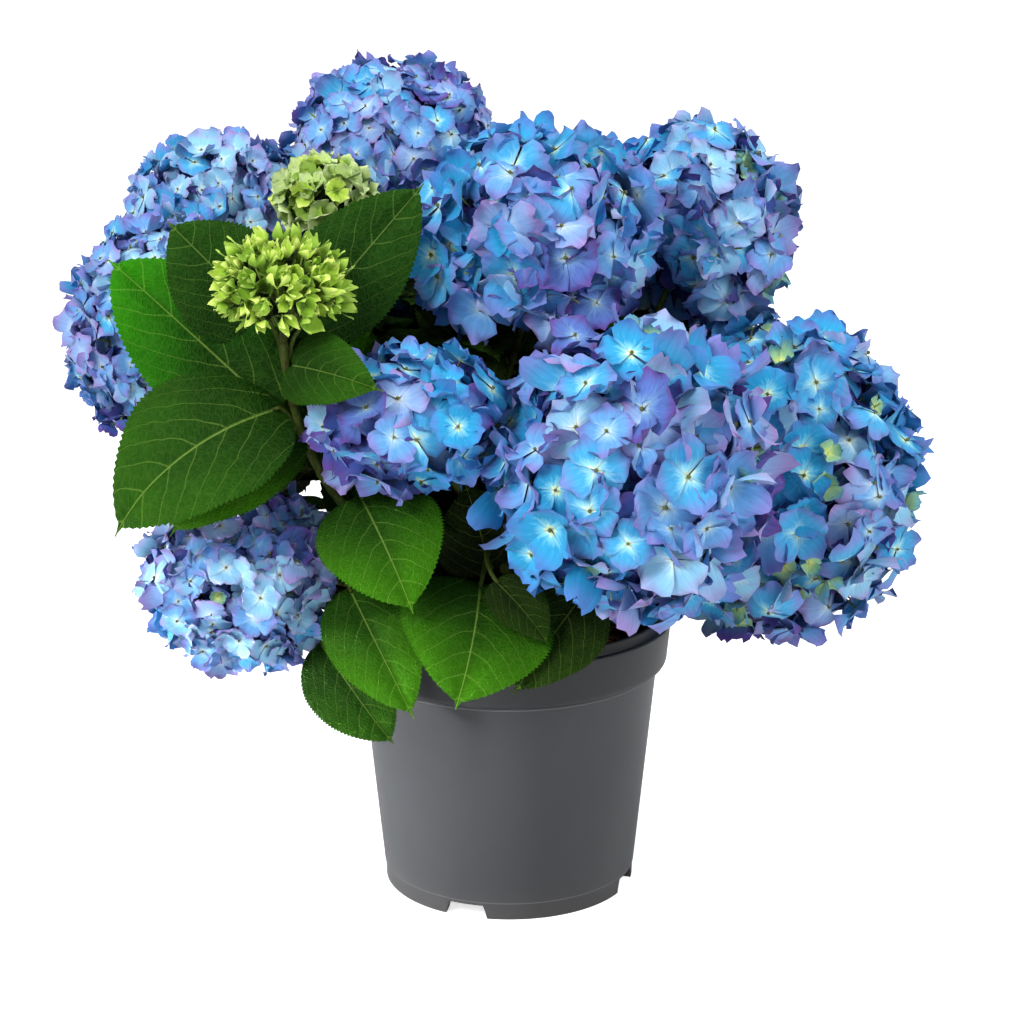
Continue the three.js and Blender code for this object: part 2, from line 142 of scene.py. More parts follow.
def gridShape(along, across):
    bm = bmesh.new()
    bmesh.ops.create_grid(bm, x_segments=along, y_segments=across, size=1)
    return arraysOf(bm)


def ballShape(radius):
    bm = bmesh.new()
    bmesh.ops.create_icosphere(bm, subdivisions=1, radius=radius)
    return arraysOf(bm)


def tubeShape(sides, steps):
    # closed tube of radius 1 that stands on its end, height 1
    bm = bmesh.new()
    bmesh.ops.create_cone(bm, cap_ends=True, cap_tris=True, segments=sides, radius1=1, radius2=1, depth=1)
    upright = [e for e in bm.edges if abs(e.verts[0].co.z - e.verts[1].co.z) > 0.5]
    bmesh.ops.subdivide_edges(bm, edges=upright, cuts=steps - 1)
    bmesh.ops.translate(bm, verts=bm.verts, vec=(0, 0, 0.5))
    return arraysOf(bm)


def bent(tube, line, radiusAt):
    # the tube follows the line, and its rings turn as little as they can
    verts, faces = tube
    shares = np.unique(np.round(verts[:, 2], 6))
    heading = Vector(headingAt(line, 0))
    turn = heading.to_track_quat("Z", "X").to_matrix()
    made = np.empty_like(verts)
    for share, point in zip(shares, pointsAt(line, shares)):
        following = Vector(headingAt(line, share))
        turn = heading.rotation_difference(following).to_matrix() @ turn
        heading = following
        ring = np.abs(verts[:, 2] - share) < 1e-5
        flat = verts[ring] * (1, 1, 0) * radiusAt(share)
        made[ring] = point + flat @ np.array(turn).T
    return made, faces


def part(shape, uv=None, tint=0.0):
    verts, faces = shape
    uv = np.zeros((len(verts), 2)) if uv is None else uv
    return {"verts": verts, "faces": faces, "uv": uv, "tint": tint}


def copies(shape, uv, matrices, places, tint):
    # the same shape many times over: (k, 3, 3) matrices, (k, 3) places and one tint
    verts, faces = shape
    count = len(places)
    made = np.einsum("kij,nj->kni", matrices, verts) + places[:, None, :]
    step = (np.arange(count) * len(verts))[:, None, None]
    moved = {n: (f[None] + step).reshape(-1, n) for n, f in faces.items()}
    return part((made.reshape(-1, 3), moved), np.tile(uv, (count, 1)), tint)


def flat32(values):
    return values.astype(np.float32).ravel()


def joinedMesh(name, parts, cells=None, margin=0.03):
    # cells is the layout of the bake: columns and rows, one cell for each tint
    counts = np.array([len(p["verts"]) for p in parts])
    starts = np.cumsum(counts) - counts
    faces = [f + start for p, start in zip(parts, starts) for f in p["faces"].values()]
    corners = np.concatenate([f.ravel() for f in faces])
    sizes = np.concatenate([np.full(len(f), f.shape[1]) for f in faces])
    mesh = bpy.data.meshes.new(name)
    mesh.vertices.add(int(counts.sum()))
    mesh.vertices.foreach_set("co", flat32(np.concatenate([p["verts"] for p in parts]) * mm))
    mesh.loops.add(len(corners))
    mesh.loops.foreach_set("vertex_index", corners.astype(np.int32))
    mesh.polygons.add(len(sizes))
    mesh.polygons.foreach_set("loop_start", (np.cumsum(sizes) - sizes).astype(np.int32))
    mesh.update(calc_edges=True)
    mesh.shade_smooth()
    if cells:
        uv = np.concatenate([p["uv"] for p in parts])
        tint = np.repeat([float(p["tint"]) for p in parts], counts)
        cell = np.stack([tint % cells[0], tint // cells[0]], -1)
        baked = (cell + mixed(margin, 1 - margin, uv)) / cells
        for layer, values in (("OFBake", baked), ("blade", uv)):
            mesh.uv_layers.new(name=layer).uv.foreach_set("vector", flat32(values[corners]))
        mesh.attributes.new("tint", "FLOAT", "POINT").data.foreach_set("value", flat32(tint))
    mesh.validate()
    return mesh


def meshFrom(bm, name):
    mesh = bpy.data.meshes.new(name)
    bm.to_mesh(mesh)
    bm.free()
    return mesh


def inScene(name, data):
    made = bpy.data.objects.new(name, data)
    bpy.context.scene.collection.objects.link(made)
    return made


def newPiece(mesh, material, stoodFor=()):
    piece = inScene(mesh.name, mesh)
    mesh.materials.append(material)
    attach(piece, "root")
    if stoodFor:
        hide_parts(*stoodFor)


# Shader building: a node goes into the tree of the sockets that feed it

def isSocket(value):
    return isinstance(value, bpy.types.NodeSocket)


def feed(socket, value):
    if isSocket(value):
        socket.id_data.links.new(value, socket)
    else:
        socket.default_value = value


def addNode(tree, kind, inputs, **settings):
    node = tree.nodes.new("ShaderNode" + kind)
    for key, value in settings.items():
        setattr(node, key, value)
    for key, value in inputs.items():
        feed(node.inputs[key], value)
    return node


def source(tree, kind, output, **settings):
    return addNode(tree, kind, {}, **settings).outputs[output]


def follow(kind, inputs, **settings):
    tree = next(value.id_data for value in inputs.values() if isSocket(value))
    return addNode(tree, kind, inputs, **settings).outputs


def calc(operation, *values):
    return follow("Math", dict(enumerate(values)), operation=operation)[0]


def times(*values):
    return reduce(lambda a, b: calc("MULTIPLY", a, b), values)


def plus(first, second):
    return calc("ADD", first, second)


def minus(first, second):
    return calc("SUBTRACT", first, second)


def most(first, second):
    return calc("MAXIMUM", first, second)


def scaled(value, slope, start):
    return calc("MULTIPLY_ADD", value, slope, start)


def between(value, low, high):
    # 0 below low, 1 above high and smooth from one to the other
    inputs = {"Value": value, "From Min": low, "From Max": high}
    return follow("MapRange", inputs, interpolation_type="SMOOTHSTEP")[0]


def fading(value, low, high):
    return minus(1, between(value, low, high))


def blendOf(share, first, second):
    return follow("Mix", {0: share, 6: first, 7: second}, data_type="RGBA")[2]


def shaded(colour, factor):
    return follow("VectorMath", {0: colour, 1: factor}, operation="MULTIPLY")[0]


def noiseAt(place, scale, detail):
    return follow("TexNoise", {"Vector": place, "Scale": scale, "Detail": detail})["Fac"]


def bladePlace(uv):
    # along a blade, across it, and away from its middle
    parts = follow("SeparateXYZ", {0: uv})
    return parts["X"], parts["Y"], calc("ABSOLUTE", scaled(parts["Y"], 2, -1))


def newMaterial(name, **fixed):
    material = bpy.data.materials.new(name)
    material.use_nodes = True
    shader = material.node_tree.nodes["Principled BSDF"]
    for socket, value in fixed.items():
        shader.inputs[socket.replace("_", " ")].default_value = value
    return material, material.node_tree, shader


def bumpOn(shader, strength, distance, height):
    bump = follow("Bump", {"Strength": strength, "Distance": distance, "Height": height})
    feed(shader.inputs["Normal"], bump["Normal"])


def newGroup(name, inputs, outputs):
    # an input without a value is a vector
    group = bpy.data.node_groups.new(name, "ShaderNodeTree")
    for label, value in inputs.items():
        kind = "Vector" if value is None else "Float"
        socket = group.interface.new_socket(label, in_out="INPUT", socket_type="NodeSocket" + kind)
        if value is not None:
            socket.default_value = value
    for label in outputs:
        group.interface.new_socket(label, in_out="OUTPUT", socket_type="NodeSocketFloat")
    return group, group.nodes.new("NodeGroupInput").outputs, group.nodes.new("NodeGroupOutput").inputs


def placeGroup(group, **inputs):
    return follow("Group", inputs, node_tree=group)


def makeMottle():
    # uneven lighter and darker patches, coarse and fine
    inputs = {"Vector": None, "Scale": 20, "Amount": 0.3}
    group, given, out = newGroup("mottle", inputs, ("Factor", "Height"))
    coarse = noiseAt(given["Vector"], given["Scale"], 4)
    fine = noiseAt(given["Vector"], times(given["Scale"], 7), 3)
    both = plus(times(coarse, 0.65), times(fine, 0.35))
    swing = times(minus(both, 0.5), given["Amount"])
    feed(out["Factor"], plus(times(swing, 4), 1))
    feed(out["Height"], both)
    return group


def makeBladeVeins():
    # midrib, curved side veins and the ladder of small ones between them, for a blade whose UV runs
    # from base to tip in X and across it in Y, with the midrib at a half
    inputs = {"UV": None, "Veins": 6, "Sweep": 0.3, "Curve": 0.32, "Width": 0.058, "Wander": 0.055}
    outputs = ("Midrib", "Side", "Ladder", "Net", "Along", "Aside")
    group, given, out = newGroup("blade veins", inputs, outputs)
    shift = times(minus(noiseAt(given["UV"], 7, 1), 0.5), given["Wander"])
    along, across, aside = bladePlace(given["UV"])
    swept = plus(times(aside, given["Sweep"]), times(aside, aside, given["Curve"]))
    order = times(minus(plus(along, shift), swept), given["Veins"])
    off = calc("ABSOLUTE", minus(calc("FRACT", order), 0.5))
    lattice = follow("CombineXYZ", {
        "X": times(order, 2.2),
        "Y": plus(times(along, 27), times(aside, 10)),
        "Z": times(calc("GREATER_THAN", across, 0.5), 7),
    })[0]
    rungs, small = [follow("TexVoronoi", {"Vector": lattice, "Scale": scale}, feature="DISTANCE_TO_EDGE")
                    for scale in (1, 2.6)]
    feed(out["Midrib"], fading(aside, 0, scaled(along, -0.025, 0.035)))
    feed(out["Side"], fading(off, 0, times(given["Width"], scaled(aside, -0.6, 1))))
    feed(out["Ladder"], fading(rungs["Distance"], 0, 0.2))
    feed(out["Net"], fading(small["Distance"], 0, 0.3))
    feed(out["Along"], along)
    feed(out["Aside"], aside)
    return group


mottle = makeMottle()
bladeVeins = makeBladeVeins()


def tintShareOf(tree, count):
    tint = source(tree, "Attribute", "Fac", attribute_name="tint")
    return calc("DIVIDE", plus(tint, 0.5), count)


def tintRamp(share, colours):
    # one plain colour for each tint
    ramp = addNode(share.id_data, "ValToRGB", {"Fac": share})
    stops = ramp.color_ramp
    stops.interpolation = "CONSTANT"
    stops.elements.remove(stops.elements[1])
    stops.elements[0].position = 0
    for index, colour in enumerate(colours):
        stop = stops.elements[0] if index == 0 else stops.elements.new(index / len(colours))
        stop.color = linear(*colour)
    return ramp.outputs["Color"]


# Petals: each tint has a heart, an inner, a middle and a rim colour. The stalks' rim colour is the bead.
# A head's mood is made of the first six blue ones
blueTints = {
    "cyan": ((222, 240, 190), (126, 206, 228), (34, 152, 204), (76, 126, 196)),
    "sky": ((222, 240, 190), (138, 206, 230), (62, 160, 212), (112, 130, 198)),
    "pale": ((222, 236, 220), (178, 218, 236), (130, 188, 222), (154, 162, 210)),
    "periwinkle": ((198, 222, 220), (146, 194, 230), (96, 156, 214), (124, 124, 194)),
    "lilac": ((198, 214, 220), (160, 192, 228), (128, 160, 212), (148, 130, 192)),
    "violet": ((176, 202, 200), (112, 154, 206), (80, 108, 182), (94, 66, 146)),
    "unripe": ((222, 232, 124), (206, 222, 138), (152, 198, 152), (92, 158, 192)),
    # deep: painted shade, for the florets of a head's inner layers
    "deep": ((104, 132, 150), (76, 110, 174), (56, 82, 156), (72, 60, 132)),
    "stalk": ((134, 160, 84), (134, 160, 84), (134, 160, 84), (96, 100, 52)),
}
# Each green tint runs from a dark heart to a pale rim: partly the buds' own green, partly painted shade in
# the urns' openings and a painted highlight on their rims. The shade tint is painted shade
greenTints = {
    "lime": ((80, 116, 18), (134, 172, 38), (174, 208, 70), (216, 234, 124)),
    "leafy": ((62, 96, 18), (98, 138, 28), (130, 172, 46), (172, 204, 84)),
    "cream": ((116, 148, 52), (150, 182, 90), (178, 202, 122), (202, 218, 160)),
    "moss": ((70, 108, 24), (100, 138, 40), (130, 166, 58), (160, 190, 92)),
    "shade": ((22, 36, 8), (30, 50, 12), (36, 60, 14), (46, 74, 20)),
    "stalk": ((96, 128, 36), (96, 128, 36), (96, 128, 36), (120, 140, 40)),
}
tintCells = (3, 3)


def petalMaterial(name, tints, look):
    material, tree, shader = newMaterial(name, Roughness=0.6, Sheen_Weight=0.08, Specular_IOR_Level=0.2)
    share = tintShareOf(tree, len(tints))
    heartColour, inner, middle, rim = [tintRamp(share, column) for column in zip(*tints.values())]
    along, across, aside = bladePlace(source(tree, "UVMap", "UV", uv_map="blade"))
    drawnOut = {"X": times(along, 1.4), "Y": times(across, look["streaks"]), "Z": times(share, 40)}
    lengthways = follow("CombineXYZ", drawnOut)[0]
    fibres = noiseAt(lengthways, 1, 3)
    reach = plus(along, times(minus(fibres, 0.5), look["swing"]))
    colour = blendOf(between(reach, look["heart"], look["heart"] + 0.1), heartColour, inner)
    colour = blendOf(between(reach, 0.14, 0.42), colour, middle)
    colour = blendOf(most(between(reach, 0.5, 1), between(aside, 0.7, 1.25)), colour, rim)
    streaks = between(noiseAt(lengthways, 2.3, 1), 0.52, 0.68)
    colour = blendOf(times(streaks, fading(along, 0.2, 0.72), 0.55), colour, inner)
    patches = placeGroup(mottle, Vector=lengthways, Scale=0.7, Amount=0.2)
    feed(shader.inputs["Base Color"], shaded(colour, patches["Factor"]))
    bumpOn(shader, 0.4, 0.0007, fibres)
    return material


# Leaves, with satin blades: deep green, and brighter towards the tip on some. The darker base is partly the
# leaf's own colour and partly painted shade near the stalk
leafTints = {
    "deep": ((22, 58, 11), (28, 68, 9)),
    "middle": ((24, 60, 8), (36, 82, 5)),
    "fresh": ((28, 68, 6), (55, 116, 4)),
    "bright": ((18, 54, 4), (38, 122, 0)),
    # shade and dark: painted shade, for leaves in the shadow of flower heads and inside the crown
    "shade": ((22, 42, 6), (32, 58, 6)),
    "dark": ((15, 26, 5), (20, 34, 6)),
}
leafVein = (160, 196, 92)
leafCells = (3, 2)
blade = {
    "along": 76, "across": 12, "teeth": 0.022, "veins": 6, "sweep": 0.3, "curve": 0.32, "relief": 0.017,
    "fold": 0.16, "droop": 0.12, "wave": 0.035, "tipCurl": 0.04, "body": 0.95, "tip": 0.085,
}
fineBlade = {**blade, "along": 20, "across": 8, "teeth": 0.025}


def leafMaterial():
    material, tree, shader = newMaterial("satin leaf", Specular_IOR_Level=0.07)
    uv = source(tree, "UVMap", "UV", uv_map="blade")
    share = tintShareOf(tree, len(leafTints))
    base, tip = [tintRamp(share, column) for column in zip(*leafTints.values())]
    veins = placeGroup(bladeVeins, UV=uv, Veins=blade["veins"], Sweep=blade["sweep"], Curve=blade["curve"])
    apart = follow("CombineXYZ", {"Z": times(share, 9)})[0]
    place = follow("Mapping", {"Vector": uv, "Location": apart, "Scale": (1.5, 1, 1)})[0]
    patches = placeGroup(mottle, Vector=place, Scale=4, Amount=0.24)
    # darker towards the base and the midrib: partly the leaf's own colour, partly painted shade near the
    # stalk
    outwards = plus(veins["Along"], times(veins["Aside"], 0.3))
    colour = shaded(blendOf(between(outwards, 0.25, 1.05), base, tip), patches["Factor"])
    veinColour = blendOf(0.5, shaded(colour, (3.2, 2.4, 3.2)), linear(*leafVein))
    main = most(times(veins["Side"], 0.44), veins["Midrib"])
    paler = most(times(main, 0.85), times(veins["Ladder"], 0.05))
    feed(shader.inputs["Base Color"], blendOf(paler, colour, veinColour))
    feed(shader.inputs["Roughness"], scaled(patches["Height"], 0.25, 0.5))
    small = scaled(veins["Ladder"], -0.5, times(veins["Net"], -0.35))
    bumpOn(shader, 0.75, 0.0013, plus(times(main, -0.9), small))
    return material


def barkMaterial(name, light, dark, fibre, roughness):
    # fibre is how far the grain is drawn out along the stem
    material, tree, shader = newMaterial(name, Specular_IOR_Level=0.18)
    place = source(tree, "TexCoord", "Object")
    drawn = follow("Mapping", {"Vector": place, "Scale": (1, 1, fibre)})[0]
    grain = placeGroup(mottle, Vector=drawn, Scale=420, Amount=0.5)
    patches = placeGroup(mottle, Vector=place, Scale=45, Amount=0.4)
    share = between(times(grain["Factor"], patches["Factor"]), 0.35, 1.6)
    feed(shader.inputs["Base Color"], blendOf(share, linear(*dark), linear(*light)))
    feed(shader.inputs["Roughness"], scaled(grain["Height"], 0.2, roughness))
    bumpOn(shader, 0.7, 0.0008, grain["Height"])
    return material


# Satin plastic with dust towards the foot. Painted shade from the flower heads darkens the collar, and
# darkens the band above its ridge most. Painted highlights make thin light lines at the collar's bead and
# at the foot's step. Heights are metres
potFinish = {
    # the collar and rim tones are painted shade from the flower heads over the pot
    "wall": (56, 57, 60), "collar": (39, 40, 43), "rim": (22, 23, 25), "dust": (75, 72, 67),
    # the light lines at the foot's step and at the collar's bead are painted highlights
    "edgeHighlight": (110, 111, 115), "dustTop": 0.03, "dustShare": 0.25, "collarFrom": (0.1625, 0.165),
    "rimFrom": (0.1955, 0.1962), "edgeHighlightAt": ((0.0122, 0.0130), (0.1602, 0.1614)), "edgeHighlightBlur": 0.0003,
    "edgeHighlightShare": 0.5,
}


def potMaterial():
    material, tree, shader = newMaterial("moulded grey plastic", Specular_IOR_Level=0.36)
    place = source(tree, "TexCoord", "Object")
    patches = placeGroup(mottle, Vector=place, Scale=9, Amount=0.08)
    grain = placeGroup(mottle, Vector=place, Scale=900, Amount=0.1)
    height, edge = follow("SeparateXYZ", {0: place})["Z"], potFinish["edgeHighlightBlur"]
    coats = [("dust", times(between(height, potFinish["dustTop"], 0), potFinish["dustShare"]))]
    # painted shade: the collar and the band above the ridge turn darker
    coats += [(name, between(height, *potFinish[name + "From"])) for name in ("collar", "rim")]
    # painted highlights: thin light lines at the foot's step and at the collar's bead
    for low, high in potFinish["edgeHighlightAt"]:
        edgeHighlight = minus(between(height, low - edge, low), between(height, high, high + edge))
        coats.append(("edgeHighlight", times(edgeHighlight, potFinish["edgeHighlightShare"])))
    tone = linear(*potFinish["wall"])
    for name, share in coats:
        tone = blendOf(share, tone, linear(*potFinish[name]))
    feed(shader.inputs["Base Color"], shaded(tone, patches["Factor"]))
    feed(shader.inputs["Roughness"], scaled(patches["Height"], 0.16, 0.3))
    bumpOn(shader, 0.12, 0.0002, grain["Height"])
    return material


def compostMaterial():
    material, tree, shader = newMaterial("bark compost", Roughness=0.95, Specular_IOR_Level=0.2)
    place = source(tree, "TexCoord", "Object")
    crumbly = placeGroup(mottle, Vector=place, Scale=170, Amount=0.7)
    patches = placeGroup(mottle, Vector=place, Scale=40, Amount=0.5)
    share = between(times(crumbly["Factor"], patches["Factor"]), 0.3, 1.9)
    feed(shader.inputs["Base Color"], blendOf(share, linear(42, 28, 17), linear(150, 108, 72)))
    bumpOn(shader, 0.9, 0.002, crumbly["Height"])
    return material


bluePetals = petalMaterial("blue petals", blueTints, {"streaks": 12, "swing": 0.34, "heart": 0.07})
greenPetals = petalMaterial("green buds", greenTints, {"streaks": 6, "swing": 0.2, "heart": 0.16})
leafSurface = leafMaterial()
caneBark = barkMaterial("flaking cane bark", (156, 130, 92), (74, 56, 36), 0.12, 0.7)
greenWood = barkMaterial("young green wood", (72, 88, 26), (38, 38, 14), 0.2, 0.5)
stalkSkin = barkMaterial("stalk skin", (72, 94, 26), (42, 34, 15), 0.2, 0.5)
potPlastic = potMaterial()
compostGrain = compostMaterial()
print("materials are made")


# Pot: one turned profile with notches in its ring foot
pot = {
    "height": 203, "rimRadius": 111.5, "ridgeRadius": 115, "shoulderHeight": 7.5, "collarFootRadius": 112.5,
    "collarHeight": 41, "collarRounding": 7, "neckRadius": 105.5, "footRadius": 89.5, "footHeight": 12,
    "wall": 3, "padRadius": 56, "channelInnerRadius": 60, "channelHeight": 11, "ridgeRound": 1.3,
    "beadRadius": 0.9, "notches": 4, "firstNotch": -20, "notchWidth": 31, "notchTop": 26,
    "notchHeight": 9.5, "steps": 360,
}


def arcPoints(centre, radius, start, end, count):
    angles = np.radians(np.linspace(start, end, count))
    return [(centre[0] + radius * math.cos(a), centre[1] + radius * math.sin(a)) for a in angles]


def potProfile():
    # radius and height, from the middle of the underside out, up the outer wall and down the inner one
    wall, rim, ridge = pot["wall"], pot["rimRadius"], pot["ridgeRadius"]
    neck, foot, rounding = pot["neckRadius"], pot["footRadius"], pot["collarRounding"]
    channel, collarFoot = pot["channelHeight"], pot["height"] - pot["collarHeight"]
    ringInner = foot - 2 * wall
    ridgeLevel = pot["height"] - pot["shoulderHeight"]
    ridgeMiddle = (ridge - pot["ridgeRound"], ridgeLevel - pot["ridgeRound"])
    return [
        (0, 0), (pot["padRadius"], 0), (pot["channelInnerRadius"], channel), (ringInner - 2, channel),
        (ringInner, 0.4), (ringInner + 0.4, 0), (foot - 0.8, 0), (foot, 0.8),
        (foot + 0.4, pot["footHeight"]), (foot + 1, pot["footHeight"] + 0.8),
        (neck - 0.4, collarFoot - 3), (neck - 0.1, collarFoot - 1.7),
        *arcPoints((neck + 0.1, collarFoot - 0.7), pot["beadRadius"], -70, 60, 5),
        (neck + 0.9, collarFoot + 0.15),
        *arcPoints((pot["collarFootRadius"] - rounding, collarFoot + rounding), rounding, -78, 0, 9),
        *arcPoints(ridgeMiddle, pot["ridgeRound"], -10, 90, 6),
        (rim + 0.7, ridgeLevel + 0.3), (rim + 0.1, ridgeLevel + 1.4),
        *arcPoints((rim - wall / 2, pot["height"] - wall / 2), wall / 2, 0, 180, 9),
        (rim - wall, ridgeLevel + 0.4), (ridge - wall, ridgeLevel - 1.5),
        (pot["collarFootRadius"] - wall, collarFoot + rounding), (neck - wall, collarFoot),
        (foot + wall / 2, channel + wall + 4), (pot["channelInnerRadius"] - wall, channel + wall),
        (pot["padRadius"] - wall, wall), (0, wall),
    ]


def cutNotches(bm):
    # the foot's lowest edge is raised at each notch, up slanting sides
    spacing = 360 / pot["notches"]
    for vert in bm.verts:
        radius = math.hypot(vert.co.x, vert.co.y)
        if vert.co.z > 1 or radius < pot["footRadius"] - 8:
            continue
        angle = math.degrees(math.atan2(vert.co.x, -vert.co.y)) - pot["firstNotch"]
        off = abs((angle + spacing / 2) % spacing - spacing / 2)
        across = math.radians(off) * radius
        slope = (pot["notchWidth"] / 2 - across) / ((pot["notchWidth"] - pot["notchTop"]) / 2)
        vert.co.z += pot["notchHeight"] * min(1, max(0, slope))


def sortFaces(bm):
    # a spin lists its faces in another order each run
    bm.verts.index_update()
    listed = sorted(bm.faces, key=lambda face: sorted(v.index for v in face.verts))
    for index, face in enumerate(listed):
        face.index = index
    bm.faces.sort()


def makePot():
    bm = bmesh.new()
    verts = [bm.verts.new((r, 0, z)) for r, z in potProfile()]
    edges = [bm.edges.new(pair) for pair in zip(verts, verts[1:])]
    bmesh.ops.spin(bm, geom=verts + edges, cent=(0, 0, 0), axis=(0, 0, 1), angle=math.tau,
                   steps=pot["steps"], use_merge=True)
    bmesh.ops.remove_doubles(bm, verts=bm.verts, dist=0.01)
    sortFaces(bm)
    cutNotches(bm)
    bmesh.ops.recalc_face_normals(bm, faces=bm.faces)
    bmesh.ops.scale(bm, verts=bm.verts, vec=(mm, mm, mm))
    mesh = meshFrom(bm, "nursery_pot")
    mesh.shade_smooth()
    mesh.set_sharp_from_angle(angle=math.radians(35))
    newPiece(mesh, potPlastic, ["pot"])


makePot()


# Compost: crumbs and bark chips that cover the solid's top
crumbs = {
    "count": 900, "smallest": 2.0, "largest": 7.5, "lift": 1.2, "relief": 3.2, "seed": 41, "margin": 0.6,
    "squares": 90, "lumps": 14, "chipLift": 1.6,
}


def barkChip(ball, radius, rng):
    size = mixed(crumbs["smallest"], crumbs["largest"], rng.random() ** 2.2)
    out = math.sqrt(rng.random()) * (radius - 4)
    angle = rng.random() * math.tau
    place = np.array([out * math.cos(angle), out * math.sin(angle), compostLevel + crumbs["chipLift"]])
    turn = Matrix.Rotation(rng.random() * math.tau, 3, "Z") @ Matrix.Rotation(rng.normal() * 0.5, 3, "X")
    verts = ball[0] * (size, size * rng.uniform(0.3, 0.7), size * rng.uniform(0.15, 0.4))
    verts = verts * rng.uniform(0.75, 1.25, (len(verts), 1))
    return part((verts @ np.array(turn).T + place, ball[1]))


def makeCompost():
    rng = np.random.default_rng(crumbs["seed"])
    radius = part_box("compost")[1].x / mm - crumbs["margin"]
    verts, faces = gridShape(crumbs["squares"], crumbs["squares"])
    inside = {n: f[(np.linalg.norm(verts[f][:, :, :2], axis=2).max(1) < 1)] for n, f in faces.items()}
    for vert in verts:
        flat = Vector((vert[0] * crumbs["lumps"], vert[1] * crumbs["lumps"], 0))
        vert[2] = noise.fractal(flat, 0.8, 2.1, 4)
    verts = verts * (radius, radius, crumbs["relief"]) + (0, 0, compostLevel + crumbs["lift"])
    ball = ballShape(1)
    chips = [barkChip(ball, radius, rng) for _ in range(crumbs["count"])]
    mesh = joinedMesh("compost_crumbs", [part((verts, inside)), *chips])
    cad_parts["compost"].data.materials.clear()
    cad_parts["compost"].data.materials.append(compostGrain)
    newPiece(mesh, compostGrain)


makeCompost()
print("pot and compost are made")


# The plant's own measures, as the solids have them
heads = table("at across tall spacing isGreen", {
    "front": ((80, -125, 334), 96, 104, 52),
    "under": ((-63, -115, 366), 72, 48, 44),
    "right": ((191, 35, 286), 108, 124, 57),
    "right_back": ((137, 90, 462), 74, 80, 46),
    "back_low": ((-5, 212, 300), 76, 68, 50),
    "back_right": ((115, 200, 395), 82, 78, 50),
    "back_left": ((-125, 212, 400), 80, 74, 50),
    "left_back": ((-210, 125, 452), 75, 73, 46),
    "low_left": ((-180, -75, 248), 72, 67, 46),
    "far_left": ((-237, 8, 399), 72, 87, 48),
    "bud": ((-145, -125, 454), 45, 35, 30, True),
    "young": ((-128, 30, 488), 34, 31, 28, True),
    "top": ((-84, 135, 500), 84, 77, 46),
    "centre": ((14, -5, 467), 87, 80, 48),
})
canes = table("foot fork carries sides", {
    "front": ((16, -28), (22, -42, 214), ("under", "front"), (0.62,)),
    "right": ((40, -2), (52, 10, 216), ("right", "right_back"), (0.6,)),
    "back": ((24, 34), (30, 62, 236), ("back_low", "back_right"), (0.72,)),
    "back_left": ((-14, 38), (-46, 58, 248), ("back_left", "left_back"), (0.6,)),
    "left": ((-40, -6), (-70, -26, 238), ("low_left", "far_left", "bud"), (0.34, 0.62)),
    "centre": ((-4, 6), (-12, 14, 300), ("young", "top", "centre"), (0.62, 0.82)),
})
cane = {"radius": 5.6, "forkRadius": 4.4, "flare": 3.2, "flareShare": 0.16, "rise": 0.45, "lean": 0.4}
bough = {"radius": 4, "tipRadius": 3.4, "share": 0.34, "bend": 0.36}
shoot = {"tipRadius": 2.7}
stalk = {"tipRadius": 2, "entry": 1.02, "depth": 0.5}


def radiiOf(head):
    return vectorOf((head["across"], head["across"], head["tall"]))


def headAim(head):
    return vectorOf((0, 0, 1)) if head.get("isGreen") else unit(vectorOf(head["at"]) - heart)


def caneLine(sizes):
    start = vectorOf((*sizes["foot"], compostLevel + clearance))
    end = vectorOf(sizes["fork"])
    straightUp = start + (0, 0, (end[2] - start[2]) * cane["rise"])
    return bezierLine(start, straightUp, mixed(end, straightUp, cane["lean"]), end)


def caneRadius(share):
    nearFoot = max(0, 1 - share / cane["flareShare"])
    return mixed(cane["radius"], cane["forkRadius"], share) + cane["flare"] * nearFoot ** 2


def growthOf(sizes, name, order):
    # bough, leafy shoot and flower stalk on one line
    head = heads[name]
    path = caneLine(sizes)
    isSide = order < len(sizes["sides"])
    share = sizes["sides"][order] if isSide else 1
    start, ahead = pointAt(path, share), headingAt(path, share)
    if isSide:
        ahead = unit(vectorOf(head["at"]) - start)
    else:
        start = start + ahead * clearance
    aim = headAim(head)
    end = vectorOf(head["at"]) - aim * radiiOf(head) * stalk["depth"]
    pull = np.linalg.norm(end - start) * bough["bend"]
    line = bezierLine(start, start + ahead * pull, end - aim * pull, end)
    checks = np.arange(200) / 200
    off = (pointsAt(line, checks) - head["at"]) / (radiiOf(head) * stalk["entry"])
    entry = checks[np.argmax(np.linalg.norm(off, axis=1) < 1)]
    gap = clearance / lengthsAlong(line)[-1]
    boughEnd = entry * bough["share"]
    return {
        "bough": stretchOf(line, 0, boughEnd),
        "shoot": stretchOf(line, boughEnd + gap, entry),
        "stalk": stretchOf(line, entry, 1),
    }


growths = {name: growthOf(sizes, name, order)
           for sizes in canes.values() for order, name in enumerate(sizes["carries"])}


# Limbs: ridged bark on the canes, smoother green wood on the boughs and shoots, with old leaf scars
limbLook = {
    "ridges": 0.09, "youngShare": 0.3, "ridgeLength": 0.05, "lumps": 0.07, "scarEvery": 38,
    "scarSwell": 0.22, "scarLength": 2.2,
}


